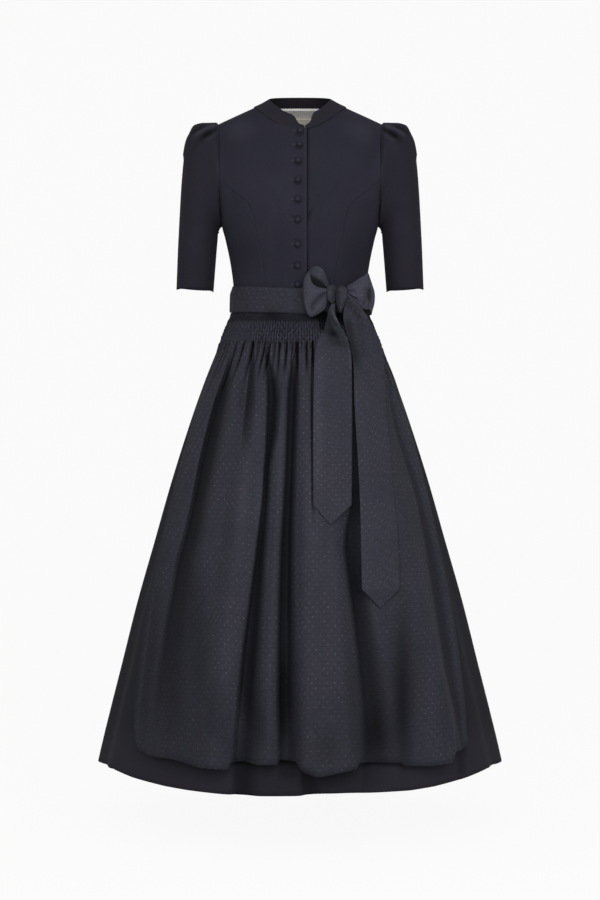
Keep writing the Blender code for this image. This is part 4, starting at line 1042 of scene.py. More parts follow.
def grid_object(name, rows, places, kind, thickness, closed=False, folds=None):
    """A sheet of cloth through rows of points that run down, its columns anticlockwise from above."""
    down, across = len(rows) - 1, len(rows[0]) - 1
    bm = bmesh.new()
    layer = bm.loops.layers.uv.new("cloth")
    # The fold attribute holds painted shade, and painted light where it is below 0
    tint = bm.verts.layers.float.new("fold")
    bmesh.ops.create_grid(bm, x_segments=across, y_segments=down, size=1.0)
    where = {}
    for vert in bm.verts:
        j = round((vert.co.x + 1) / 2 * across)
        i = down - round((vert.co.y + 1) / 2 * down)
        where[vert] = (i, j)
    for face in bm.faces:
        for loop in face.loops:
            i, j = where[loop.vert]
            loop[layer].uv = places[i][j]
    for vert, (i, j) in where.items():
        vert.co = rows[i][j]
        vert[tint] = folds[i][j] if folds else 0.0
    if closed:
        edge = [vert for vert, (i, j) in where.items() if j in (0, across)]
        bmesh.ops.remove_doubles(bm, verts=edge, dist=1e-6)
    return cloth_object(name, bm, kind, thickness)


def cloth_object(name, bm, kind, thickness=0.0):
    """An object of one kind of cloth, with a wall if it has a thickness."""
    mesh = bpy.data.meshes.new(name)
    bm.to_mesh(mesh)
    bm.free()
    mesh.shade_smooth()
    mesh.materials.append(finish(kind))
    obj = bpy.data.objects.new(name, mesh)
    bpy.context.scene.collection.objects.link(obj)
    if thickness:
        wall = obj.modifiers.new("Wall", "SOLIDIFY")
        wall.thickness = thickness
        wall.offset = -1.0
        wall.use_even_offset = False
        wall.use_rim = True
    return obj


def as_sheet(obj, node):
    """Hangs a sheet from the root and hides the part that it stands for."""
    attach(obj, "root")
    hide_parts(node)


def sheet_of(node, rows, kind, thickness=0.0, places=None, folds=None, closed=False):
    """Makes the sheet that stands for a node, through rows of points, hangs it from the root and hides the node's part.
    """
    obj = grid_object(f"{node}_cloth", rows, places or cloth_places(rows), kind, thickness, closed, folds)
    as_sheet(obj, node)
    return obj


# Bodice


SHOULDER_STEPS = 16


def fine_princess():
    """Places down the princess seam."""
    start = armhole_place(PRINCESS_START)
    first = Vector((torso(*start).x, start[1], 0))
    points = [first] + [Vector((row.x, row.z, 0)) for row in PRINCESS]
    places = []
    for k in range(PRINCESS_STEPS + 1):
        point = along(points, k / PRINCESS_STEPS)
        places.append((torso_angle(point.x, point.y), point.y))
    places[0] = start
    places[-1] = (torso_angle(PRINCESS[-1].x, WAIST), WAIST)
    return places


def fine_neck(start_x, steps=24):
    """Places along the front neck seam, from a distance from the middle out to the shoulder."""
    start = math.asin(start_x / NECK_HALF)
    places = []
    for k in range(steps + 1):
        x = NECK_HALF * math.sin(start + (math.pi / 2 - start) * k / steps)
        z = front_neck_z(abs(x))
        places.append((torso_angle(x, z), z))
    return places


def fine_shoulder():
    """Places along the shoulder seam, from the neck to its tip."""
    places = []
    for k in range(SHOULDER_STEPS + 1):
        x = NECK_HALF + (SHOULDER_TIP - NECK_HALF) * k / SHOULDER_STEPS
        z = shoulder_line(x)
        places.append((torso_angle(x, z), z))
    places[-1] = armhole_place(0)
    return places


# Distances from the button edge at which the fine rows of a front begin
FRONT_EDGE_STEPS = (
    0.0, 0.0008, 0.0016, 0.0024, 0.0032, 0.0041, 0.0052, 0.0066, 0.0084, 0.0104, 0.0126, 0.0150, 0.0174, 0.0198,
    0.0222, 0.0246, 0.0272, 0.0300,
)
EDGE_ROLL = (
    Crease(
        ((0.0120, -0.020), (0.0124, -0.090), (0.0116, -0.150), (0.0126, -0.165), (0.0118, -0.240), (0.0124, -0.370)),
        0.0007,
        0.0012,
    ),
    Crease(
        ((0.0088, -0.020), (0.0091, -0.120), (0.0085, -0.160), (0.0092, -0.260), (0.0088, -0.370)),
        -0.0006,
        0.0007,
    ),
)


@lru_cache(maxsize=None)
def buttons_seen():
    """Where the buttons show on a front view."""
    return tuple(front_view(torso(torso_angle(b.x, b.z), b.z)) for b in BUTTONS)


def dimples():
    """The cloth's soft dips round the buttons."""
    return tuple(Crease(((x, z), (x + 0.0005, z - 0.0005)), -0.0010, 0.0085) for x, z in buttons_seen())


BODICE_CREASES = (
    Crease(((0.100, -0.300), (0.075, -0.318), (0.060, -0.335)), -0.0006, 0.005),
    Crease(((0.110, -0.330), (0.085, -0.345)), -0.0006, 0.004),
    Crease(((-0.105, -0.305), (-0.080, -0.322), (-0.066, -0.336)), -0.0006, 0.005),
    Crease(((-0.112, -0.332), (-0.090, -0.346)), -0.0005, 0.004),
    Crease(((0.140, -0.150), (0.128, -0.120), (0.122, -0.095)), -0.0008, 0.007),
    Crease(((-0.140, -0.152), (-0.129, -0.122), (-0.124, -0.100)), -0.0008, 0.007),
    Crease(((0.030, -0.335), (0.034, -0.300), (0.033, -0.280)), -0.0004, 0.004),
    Crease(((-0.040, -0.338), (-0.043, -0.300), (-0.041, -0.282)), -0.0005, 0.004),
)
BACK_CREASES = (
    Crease(((0.020, -0.330), (0.060, -0.318), (0.105, -0.300)), -0.0010, 0.006),
    Crease(((-0.015, -0.318), (-0.055, -0.305), (-0.110, -0.286)), -0.0010, 0.007),
    Crease(((0.010, -0.352), (0.050, -0.345), (0.090, -0.335)), -0.0008, 0.005),
    Crease(((-0.030, -0.350), (-0.075, -0.340)), -0.0008, 0.005),
    Crease(((0.135, -0.190), (0.115, -0.140), (0.110, -0.100)), -0.0012, 0.008),
    Crease(((-0.136, -0.186), (-0.117, -0.138), (-0.113, -0.102)), -0.0012, 0.008),
)


# The front's fine grid: the width and height that its steps are laid out for, and where its closer columns end
FRONT_WIDTH = 0.150
FRONT_HEIGHT = 0.360
FRONT_ROW_STEP = 0.0028
FRONT_FINE = 0.030
FRONT_EDGE_ROWS = 60
UNDER_STEPS = 4


def front_columns():
    """Shares across a centre front panel: close together by the button edge."""
    near = [distance / FRONT_WIDTH for distance in FRONT_EDGE_STEPS]
    rest = FRONT_WIDTH - FRONT_FINE
    return near + [(FRONT_FINE + rest * share) / FRONT_WIDTH for share in spread(rest, PANEL_STEP)[5:]]


def front_rows(past_centre, lift):
    """The fine grid of a centre front panel, on the wearer's left."""
    top = []
    for k in range(UNDER_STEPS):
        x = past_centre * (1 - k / UNDER_STEPS)
        z = front_neck_z(x)
        top.append((torso_angle(-x, z), z))
    top += fine_neck(0.0001) + fine_shoulder()[1:]
    corner_z = front_neck_z(past_centre)
    left = []
    for k in range(FRONT_EDGE_ROWS + 1):
        z = corner_z + (WAIST - corner_z) * k / FRONT_EDGE_ROWS
        left.append((torso_angle(-past_centre, z), z))
    right = armhole_line(0, PRINCESS_START) + fine_princess()[1:]
    rows = []
    for line in patch((top, [left[-1], right[-1]], left, right), front_columns(), spread(FRONT_HEIGHT, FRONT_ROW_STEP)):
        points = [torso(*place) for place in line]
        rises = [lift * ease((LIFT_START - p.x) / (LIFT_START - LIFT_END)) for p in points]
        rows.append([p + torso_normal(*place) * rise for p, place, rise in zip(points, line, rises)])
    return rows


def side_rows():
    """The fine grid of a side front panel, on the wearer's left."""
    left, right = fine_princess(), side_line()
    outline = (armhole_line(PRINCESS_START, 180), [left[-1], right[-1]], left, right)
    places = patch(outline, spread(0.085, PANEL_STEP), spread(0.180, PANEL_STEP))
    return [[torso(*place) for place in line] for line in places]


def dipped(rows, sides, dip=SEAM_DIP):
    """A grid of points drawn in softly along its seams."""
    near = nearness(rows, sides)
    return raised(rows, [[-dip * max(value, 0.0) ** 2 for value in line] for line in near])


class DIRNDL_OT_bodice(bpy.types.Operator):
    """Makes the fronts, the sides and the back of the bodice"""

    bl_idname = "dirndl.bodice"
    bl_label = "Bodice"

    def execute(self, context):
        thick = context.scene.dirndl_sizes.cloth_thickness
        for name, side, past, lift in (
            ("bodice_front_right", -1, OVERLAP, OVERLAP_LIFT),
            ("bodice_front_left", 1, UNDERLAP, 0.0),
        ):
            rows = dipped(front_rows(past, lift), ("right", "top"))
            if side < 0:
                rows = flipped(rows)
            rows = creased(rows, BODICE_CREASES + dimples())
            if side < 0:
                rows = creased(rows, EDGE_ROLL)
            folds = [[edge_shade(p, side) for p in row] for row in rows]
            places = cloth_places(rows, 0 if side > 0 else len(rows[0]) - 1)
            sheet_of(name, rows, "bodice", thickness=thick, places=places, folds=folds)
        for name, side in (("bodice_side_right", -1), ("bodice_side_left", 1)):
            rows = dipped(side_rows(), ("left", "right", "top"))
            if side < 0:
                rows = flipped(rows)
            rows = creased(rows, BODICE_CREASES)
            folds = [[edge_shade(p, side) for p in row] for row in rows]
            sheet_of(name, rows, "bodice", thickness=thick, folds=folds)
        rows = dipped(back_rows(), ("left", "right", "top"))
        rows = creased(rows, BACK_CREASES, front=False)
        sheet_of("bodice_back", rows, "bodice", thickness=thick)
        return {"FINISHED"}


def back_neck(steps):
    """Places along the back neck seam, from the wearer's left to the right."""
    places = []
    for k in range(steps + 1):
        turn = math.radians(90 - 180 * k / steps)
        x = NECK_HALF * math.sin(turn)
        z = NECK_SIDE + (NECK_BACK - NECK_SIDE) * math.cos(turn) ** 2
        places.append((180 - torso_angle(x, z), z))
    return places


def back_lines():
    """The four lines round the back, from the wearer's left side seam to the right."""
    shoulder = behind(fine_shoulder())
    top = list(reversed(shoulder)) + back_neck(40)[1:-1] + [(360 - angle, z) for angle, z in shoulder]
    left = behind(armhole_line(0, 180)) + side_line()[1:]
    right = [(360 - angle, z) for angle, z in left]
    return top, [left[-1], right[-1]], left, right


def back_rows():
    """The fine grid of the back."""
    places = patch(back_lines(), spread(0.330, PANEL_STEP), spread(0.380, PANEL_STEP))
    return [[torso(*place) for place in line] for line in places]


# Lining and label inside the back of the neck
LINING_DOWN = 4 / 15
LINING_FIRST = 16 / 72
LINING_LAST = 56 / 72
LINING_COLUMNS = 48
LINING_SUBROWS = 30
LINING_UP_COLLAR = (0.04, 0.09, 0.14, 0.19, 0.235)
LABEL_WIDTH = 0.045
LABEL_HEIGHT = 0.018
LABEL_MIDDLE_X = 0.002
LABEL_MIDDLE_Z = 0.0060
LABEL_CLEAR = 2.6 * MM
LABEL_ROWS = 12
LABEL_COLUMNS = 30


def lining_rows():
    """The fine grid of the lining, drawn up over the collar's inner face."""
    across = [LINING_FIRST + (LINING_LAST - LINING_FIRST) * k / LINING_COLUMNS for k in range(LINING_COLUMNS + 1)]
    down = [LINING_DOWN * k / LINING_SUBROWS for k in range(LINING_SUBROWS + 1)]
    places = patch(back_lines(), across, down)
    depth = BODICE_CLOTH + SEAM_GAP
    rows = [[torso(*place) - torso_normal(*place) * depth for place in line] for line in places]
    seam = [(torso(*place), torso_normal(*place)) for place in places[0]]
    for share in LINING_UP_COLLAR:
        rows.insert(0, [p.lerp(collar_top(p), share) - n * (depth + 1.0 * MM) for p, n in seam])
    return [list(reversed(row)) for row in rows]


def label_rows():
    """The grid of the blank label on the lining."""
    depth = BODICE_CLOTH + LINING_CLOTH + LABEL_CLEAR
    rows = []
    for k in range(LABEL_ROWS + 1):
        z = LABEL_MIDDLE_Z + LABEL_HEIGHT * (0.5 - k / LABEL_ROWS)
        row = []
        for m in range(LABEL_COLUMNS + 1):
            place = (180 - torso_angle(LABEL_MIDDLE_X - LABEL_WIDTH * (0.5 - m / LABEL_COLUMNS), z), z)
            row.append(torso(*place) - torso_normal(*place) * depth)
        rows.append(row)
    return rows


class DIRNDL_OT_lining(bpy.types.Operator):
    """Makes the striped lining and the blank label inside the back of the neck"""

    bl_idname = "dirndl.lining"
    bl_label = "Lining and label"

    def execute(self, context):
        sheet_of("neck_lining", lining_rows(), "lining", thickness=0.5 * MM)
        rows = label_rows()
        obj = grid_object("neck_label_tape", rows, cloth_places(rows), "label", 0.4 * MM)
        as_sheet(obj, "neck_label")
        return {"FINISHED"}


# The collar: its top edge stands inside its base
COLLAR_HALF = 0.0615
COLLAR_FRONT_Y = -0.0620
COLLAR_BACK_Y = 0.0625
COLLAR_FRONT_Z = -0.0060
COLLAR_SIDE_Z = 0.0354
COLLAR_BACK_Z = 0.0518
COLLAR_FRONT_CURVE = 1.75
COLLAR_STEPS = 24
COLLAR_BULGE = 0.6 * MM
# How far the collar's lowest row is turned in and down over the neck seam
COLLAR_TURN_IN = 0.9 * MM
COLLAR_TURN_DOWN = 2.2 * MM
# Where its ends meet, how far from each end they are drawn back, and by how much at each share of its height
COLLAR_MEET = 0.0100
COLLAR_END_ZONE = 0.050
COLLAR_END = (
    (0.00, 0.0000), (0.14, 0.0002), (0.22, 0.0022), (0.30, 0.0075), (0.40, 0.0112), (0.50, 0.0130),
    (0.62, 0.0142), (0.78, 0.0160), (0.90, 0.0186), (0.96, 0.0212), (1.00, 0.0250),
)


def collar_top(point):
    """Where a point of the neck seam stands at the collar's top edge."""
    sine = max(min(point.x / NECK_HALF, 1.0), -1.0)
    cosine = math.sqrt(1 - sine * sine)
    if point.y < 0:
        top_y, end_z, rise = COLLAR_FRONT_Y, COLLAR_FRONT_Z, cosine**COLLAR_FRONT_CURVE
    else:
        top_y, end_z, rise = COLLAR_BACK_Y, COLLAR_BACK_Z, cosine
    return Vector((COLLAR_HALF * sine, top_y * cosine, COLLAR_SIDE_Z + (end_z - COLLAR_SIDE_Z) * rise))


def round_ends(row, share):
    """Draws the ends of a row of the collar back, so that its upper corners are round."""
    back = between(COLLAR_END, share)
    made = list(row)
    for order in (list(range(len(row))), list(reversed(range(len(row))))):
        lengths = lengths_along([row[k] for k in order])
        for n, k in enumerate(order):
            if lengths[n] > COLLAR_END_ZONE:
                break
            wanted = back + lengths[n] * (COLLAR_END_ZONE - back) / COLLAR_END_ZONE
            m = next(i for i in range(1, len(order)) if lengths[i] >= wanted)
            t = (wanted - lengths[m - 1]) / (lengths[m] - lengths[m - 1])
            made[k] = row[order[m - 1]].lerp(row[order[m]], t)
    return made


def collar_base():
    """The neck seam all round, from the wearer's right front end to the left one."""
    right = [torso(*place) for place in fine_neck(-COLLAR_MEET + 0.0004, 28)]
    left = [torso(*place) for place in fine_neck(COLLAR_MEET + 0.0004, 28)]
    back = [torso(*place) for place in back_neck(56)]
    return [Vector((-p.x, p.y, p.z)) for p in right] + list(reversed(back))[1:-1] + list(reversed(left))


class DIRNDL_OT_collar(bpy.types.Operator):
    """Makes the stand collar"""

    bl_idname = "dirndl.collar"
    bl_label = "Collar"

    def execute(self, context):
        base = collar_base()
        rows, bulge = [], []
        for k in range(COLLAR_STEPS + 1):
            share = 1 - k / COLLAR_STEPS
            rows.append(round_ends([point.lerp(collar_top(point), share) for point in base], share))
            bulge.append([COLLAR_BULGE * math.sin(math.pi * share)] * len(base))
        rows = raised(rows, bulge)
        down = Vector((0, 0, -COLLAR_TURN_DOWN))
        rows.append([p - n * COLLAR_TURN_IN + down for p, n in zip(rows[-1], grid_normals(rows)[-1])])
        obj = sheet_of("collar", rows, "facing", thickness=2.0 * MM)
        obj.data.materials.append(finish("collar"))
        obj.modifiers["Wall"].material_offset = 1
        return {"FINISHED"}


# Buttons


# A button's profile from its crown to its back: share of the radius, height, and how deep in shade
BUTTON_CURVE = table(
    "share height tint",
    (0.0, 0.0046, -0.50), (0.28, 0.0044, -0.42), (0.50, 0.0037, -0.12), (0.64, 0.0028, 0.55),
    (0.72, 0.0027, 0.95),
    (0.84, 0.0031, 0.10), (0.95, 0.0027, 0.45), (1.00, 0.0019, 1.0), (0.92, 0.0010, 1.2), (0.60, 0.0005, 1.2),
    (0.40, -0.0006, 1.2), (0.0, -0.0008, 1.2),
)
# How much deeper in shade a button's low left side is
BUTTON_LOW_SHADE = 0.50


def button_cap(place):
    """The covered dome of one button on the overlap, with its rolled rim."""
    angle = torso_angle(place.x, place.z)
    axis = torso_normal(angle, place.z)
    seat = torso(angle, place.z) + axis * (OVERLAP_LIFT + place.seat)
    turn = axis.to_track_quat("Z", "Y")
    bm = bmesh.new()
    layer = bm.loops.layers.uv.new("cloth")
    tint = bm.verts.layers.float.new("fold")
    rings = len(BUTTON_CURVE) - 1
    bmesh.ops.create_uvsphere(bm, u_segments=40, v_segments=rings, radius=1.0)
    for vert in bm.verts:
        ring = BUTTON_CURVE[round(math.acos(max(min(vert.co.z, 1.0), -1.0)) / math.pi * rings)]
        flat = Vector((vert.co.x, vert.co.y, 0))
        if flat.length > 1e-6:
            flat = flat.normalized() * (ring.share * BUTTON_RADIUS)
        vert.co = flat + Vector((0, 0, ring.height))
        # Painted shade on the rim and the low left side of a button, and a painted highlight on its crown
        low_left = (-0.6 * flat.x - 0.8 * flat.y) / BUTTON_RADIUS
        vert[tint] = ring.tint + BUTTON_LOW_SHADE * low_left * ring.share
    for face in bm.faces:
        for loop in face.loops:
            loop[layer].uv = (loop.vert.co.x, loop.vert.co.y)
    for vert in bm.verts:
        vert.co = seat + turn @ vert.co
    bmesh.ops.recalc_face_normals(bm, faces=bm.faces)
    return bm


class DIRNDL_OT_buttons(bpy.types.Operator):
    """Makes the nine covered buttons and their buttonholes"""

    bl_idname = "dirndl.buttons"
    bl_label = "Buttons and buttonholes"

    def execute(self, context):
        holes = bmesh.new()
        holes.loops.layers.uv.new("cloth")
        for number, place in enumerate(BUTTONS, start=1):
            obj = cloth_object(f"button_{number}_cap", button_cap(place), "button")
            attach(obj, "root")
            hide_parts(f"button_{number}")
            buttonhole(holes, place)
        bmesh.ops.recalc_face_normals(holes, faces=holes.faces)
        obj = cloth_object("buttonhole_stitching", holes, "thread")
        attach(obj, "root")
        return {"FINISHED"}


# A buttonhole: half its length and height, how far it is set off its button, and its thread's radius
HOLE_HALF = 0.0080
HOLE_HEIGHT_HALF = 0.0011
HOLE_SHIFT = -0.0052
HOLE_THREAD = 0.00055
HOLE_STEPS = 28
HOLE_SIDES = 6


def buttonhole(bm, place):
    """A worked slit: a closed cord of thread round a flat oval on the cloth."""
    steps, sides = HOLE_STEPS, HOLE_SIDES
    path = []
    for k in range(steps):
        turn = 2 * math.pi * k / steps
        x = place.x + HOLE_SHIFT + HOLE_HALF * math.copysign(abs(math.cos(turn)) ** 0.6, math.cos(turn))
        z = place.z + HOLE_HEIGHT_HALF * math.copysign(abs(math.sin(turn)) ** 0.8, math.sin(turn))
        angle = torso_angle(x, z)
        normal = torso_normal(angle, z)
        path.append((torso(angle, z) + normal * (OVERLAP_LIFT + SEAM_GAP), normal))
    rings = []
    for k, (point, normal) in enumerate(path):
        run = (path[(k + 1) % steps][0] - path[k - 1][0]).normalized()
        across = run.cross(normal).normalized()
        ring = []
        for m in range(sides):
            turn = 2 * math.pi * m / sides
            ring.append(bm.verts.new(point + (across * math.cos(turn) + normal * math.sin(turn)) * HOLE_THREAD))
        rings.append(ring)
    for k in range(steps):
        first, second = rings[k], rings[(k + 1) % steps]
        for m in range(sides):
            bm.faces.new((first[m], first[(m + 1) % sides], second[(m + 1) % sides], second[m]))


# Sleeves


SLEEVE_PLEATS = (-48.0, -30.0, -12.0, 12.0, 30.0, 48.0)
PLEAT_HALF = 8.0
PLEAT_SHARE = 0.45
# Creases of the sleeves: the places along each, its depth and its half width
SLEEVE_CREASES = (
    Crease(
        ((0.1560, -0.0230), (0.1640, -0.0240), (0.1770, -0.0260), (0.1880, -0.0330), (0.1960, -0.0420)),
        -0.0046,
        0.0046,
    ),
    Crease(((0.1790, -0.0140), (0.2010, -0.0200), (0.2140, -0.0290), (0.2230, -0.0430)), -0.0032, 0.0036),
    Crease(((0.1640, -0.0170), (0.1870, -0.0210), (0.2040, -0.0300), (0.2180, -0.0430)), 0.0030, 0.0040),
    Crease(((0.2120, -0.0180), (0.2220, -0.0330), (0.2280, -0.0500), (0.2320, -0.0720)), 0.0030, 0.0075),
    Crease(((0.1700, -0.2350), (0.1850, -0.2500), (0.2000, -0.2560)), -0.0010, 0.0070),
    Crease(((0.2330, -0.2300), (0.2200, -0.2450), (0.2100, -0.2500)), -0.0008, 0.0070),
)
# Their shade: the places along each, how deep in shade and how wide
SLEEVE_SHADES = (
    Crease(
        ((0.1634, -0.0156), (0.1742, -0.0156), (0.1870, -0.0198), (0.2016, -0.0280), (0.2160, -0.0372)),
        -1.40,
        0.0038,
    ),
    Crease(((0.1850, -0.0136), (0.2052, -0.0230), (0.2190, -0.0350)), 0.85, 0.0034),
    Crease(((0.1610, -0.0228), (0.1742, -0.0256), (0.1880, -0.0326), (0.1990, -0.0412)), 0.80, 0.0042),
    Crease(((0.1800, -0.0310), (0.1920, -0.0370), (0.2000, -0.0430)), 0.45, 0.0060),
    Crease(((0.1690, -0.0318), (0.1780, -0.0375), (0.1860, -0.0440)), -0.60, 0.0040),
)
# How far the head is set down by the shoulder, and the hem drawn up in front and let down behind
HEAD_SET_DOWN = 4.2 * MM
HEM_FRONT = 4.2 * MM
HEM_BACK = 5.0 * MM
CREASE_START = 0.010
# How far the head's own edge is turned in under the bodice
HEAD_TURN_IN = 4.5 * MM


def head_set_down(p):
    """How far a point of the sleeve's head is set down, next to the shoulder's tip."""
    down = HEAD_SET_DOWN * ease((p.z + 0.060) / 0.040)
    return down * ease((p.x - 0.162) / 0.010) * (1 - ease((p.x - 0.178) / 0.030))


def joined(rows):
    """A tube's grid with its last column laid exactly on its first."""
    for row in rows:
        row[-1] = row[0]
    return rows


def sleeve_rows():
    """The fine grid of the wearer's left sleeve."""
    turns = [360 * k / SLEEVE_TURNS for k in range(SLEEVE_TURNS + 1)]
    rings = [[armhole_point(turn) for turn in turns]]
    rings += [[sleeve_point(ring, turn) for turn in turns] for ring in SLEEVE]
    columns = list(zip(*rings))
    count = len(SLEEVE) * SLEEVE_SUBROWS
    rows = [[smooth_point(column, k / count) for column in columns] for k in range(count + 1)]
    amounts = []
    for k in range(count + 1):
        place = k / SLEEVE_SUBROWS
        i = min(int(place), len(SLEEVE) - 1)
        before = SLEEVE[i - 1].pleat if i else 0.0
        pleat = before + (SLEEVE[i].pleat - before) * (place - i)
        amounts.append([PLEAT_SHARE * pleat * pleat_height(turn) for turn in turns])
    rows = joined(outward(raised(rows, amounts)))
    # Both ends of a row are one point here, at the top of the sleeve, which is set down twice
    for row in rows:
        for p in row:
            p.z -= head_set_down(p)
    rows = creased(rows, SLEEVE_CREASES, pinned=CREASE_START)
    rows = joined(creased(rows, SLEEVE_CREASES, front=False, pinned=CREASE_START))
    for k in range(1, SLEEVE_SUBROWS + 1):
        at = k - SLEEVE_SUBROWS - 1
        lifts = [k / SLEEVE_SUBROWS * (HEM_BACK * ease(p.y / 0.040) - HEM_FRONT) for p in rows[at]]
        rows[at] = [p + Vector((0, 0, lift)) for p, lift in zip(rows[at], lifts)]
    return [[p - Vector((HEAD_TURN_IN, 0, 0)) for p in rows[0]]] + rows


class DIRNDL_OT_sleeves(bpy.types.Operator):
    """Makes the two sleeves with their pleated heads"""

    bl_idname = "dirndl.sleeves"
    bl_label = "Sleeves"

    def execute(self, context):
        thick = context.scene.dirndl_sizes.cloth_thickness
        left = sleeve_rows()
        # Painted shade of the head's creases, and painted light on its ridge and along the armhole seam
        tint = [[shade_along(SLEEVE_SHADES, p) + arm_shade(p) for p in row] for row in left]
        for node, rows, folds in (
            ("sleeve_left", left, tint),
            ("sleeve_right", flipped(left), [list(reversed(line)) for line in tint]),
        ):
            sheet_of(node, rows, "sleeve", thickness=thick, folds=folds, closed=True)
        return {"FINISHED"}


def outward(rows):
    """A tube's grid with its columns in the order that makes its faces look out."""
    middle = sum(rows[-1][:-1], Vector()) / (len(rows[-1]) - 1)
    normals = grid_normals(rows)
    if normals[-1][3].dot(rows[-1][3] - middle) < 0:
        return [list(reversed(row)) for row in rows]
    return rows


def pleat_height(turn):
    """How high the pleats of a sleeve's head stand at a turn, softly rounded."""
    turn = (turn + 180) % 360 - 180
    near = min(abs(turn - middle) for middle in SLEEVE_PLEATS)
    return ease(1 - near / PLEAT_HALF)


# Skirt


GATHERS_BACK = 36
GATHER_RAISE = 1.8 * MM
GATHER_START = -0.402
GATHER_FULL = -0.415
GATHER_END = -0.620
SKIRT_ROWS = 100
SKIRT_COLUMNS = 240
SKIRT_BACK_ROWS = 110
# The skirt's front gives way behind the apron's deep folds: by how much more, and down to how near the hem
GIVE_WAY = 5.0 * MM
GIVE_WAY_END = 0.05
# How far the skirt's hem runs above its even line, across the front
HEM_LIFT = (
    (-0.420, 0.0056), (-0.392, 0.0056), (-0.374, 0.0086), (-0.335, 0.0026), (-0.270, -0.0024),
    (-0.225, -0.0040),
    (-0.180, -0.0044), (-0.090, -0.0040), (0.000, -0.0016), (0.050, 0.0014), (0.100, 0.0010), (0.180, -0.0018),
    (0.220, -0.0036), (0.270, -0.0024), (0.335, 0.0030), (0.374, 0.0092), (0.392, 0.0060), (0.420, 0.0060),
)
HEM_LIFT_ROWS = 12
HEM_LIFT_REACH = 0.10


def even_shares(count):
    """Shares from 0 to 1."""
    return [k / count for k in range(count + 1)]


def skirt_surface(angle, z):
    """A point of the skirt with its soft folds, all round."""
    wrapped = (angle + 90) % 360 - 90
    folds = SKIRT_FRONT_FOLDS if wrapped <= 90 else SKIRT_BACK_FOLDS
    return skirt_form(angle, z, fold_raise(folds, wrapped, z))


def skirt_heights(count):
    """Heights from the waist to the hem, closer together by the waist."""
    return [SKIRT_TOP + (HEM - SKIRT_TOP) * share**1.25 for share in even_shares(count)]


def painted_low_light(point):
    """Painted light: how much lighter the skirt is made low down at its sides."""
    x, z = front_view(point)
    return 0.42 * ease((-1.200 - z) / 0.060) * ease((abs(x) - 0.110) / 0.060)


def gather_height(share, grow):
    """How high the gathers of the skirt's back stand."""
    return GATHER_RAISE * grow * (0.5 - 0.5 * math.cos(2 * math.pi * GATHERS_BACK * share))


def skirt_front():
    """The grid of the skirt's front, which gives way behind the apron's deep folds, and how deep in shade it is."""
    rows, folds = [], []
    for z in skirt_heights(SKIRT_ROWS):
        row, tint = [], []
        for share in even_shares(SKIRT_COLUMNS):
            p = skirt_surface(-90 + 180 * share, z)
            drop = deep_folds(p)
            tint.append(min(max(drop, 0.0) / 0.012 + 0.4 * max(soft_shade(p), 0.0), 1.2) - painted_low_light(p))
            spare = GIVE_WAY * ease(drop / 0.004) if p.z > HEM + GIVE_WAY_END else 0.0
            row.append(p + Vector((0, drop + spare, 0)))
        rows.append(row)
        folds.append(tint)
    for row in rows[-HEM_LIFT_ROWS:]:
        for p in row:
            p.z += between(HEM_LIFT, front_view(p)[0]) * ease((HEM + HEM_LIFT_REACH - p.z) / HEM_LIFT_REACH)
    return dipped(rows, ("left", "right")), folds


def skirt_back():
    """The grid of the skirt's back with its gathers."""
    shares = even_shares(6 * GATHERS_BACK)
    rows, amounts = [], []
    for z in skirt_heights(SKIRT_BACK_ROWS):
        grow = ease((GATHER_START - z) / (GATHER_START - GATHER_FULL))
        grow *= 1 - ease((GATHER_FULL - z) / (GATHER_FULL - GATHER_END))
        rows.append([skirt_surface(90 + 180 * share, z) for share in shares])
        amounts.append([gather_height(share, grow) for share in shares])
    return dipped(raised(rows, amounts), ("left", "right"))


class DIRNDL_OT_skirt(bpy.types.Operator):
    """Makes the front and the gathered back of the skirt"""

    bl_idname = "dirndl.skirt"
    bl_label = "Skirt"

    def execute(self, context):
        thick = context.scene.dirndl_sizes.cloth_thickness
        rows, folds = skirt_front()
        sheet_of("skirt_front", rows, "skirt", thickness=thick, folds=folds)
        sheet_of("skirt_back", skirt_back(), "skirt", thickness=thick)
        return {"FINISHED"}


# Apron


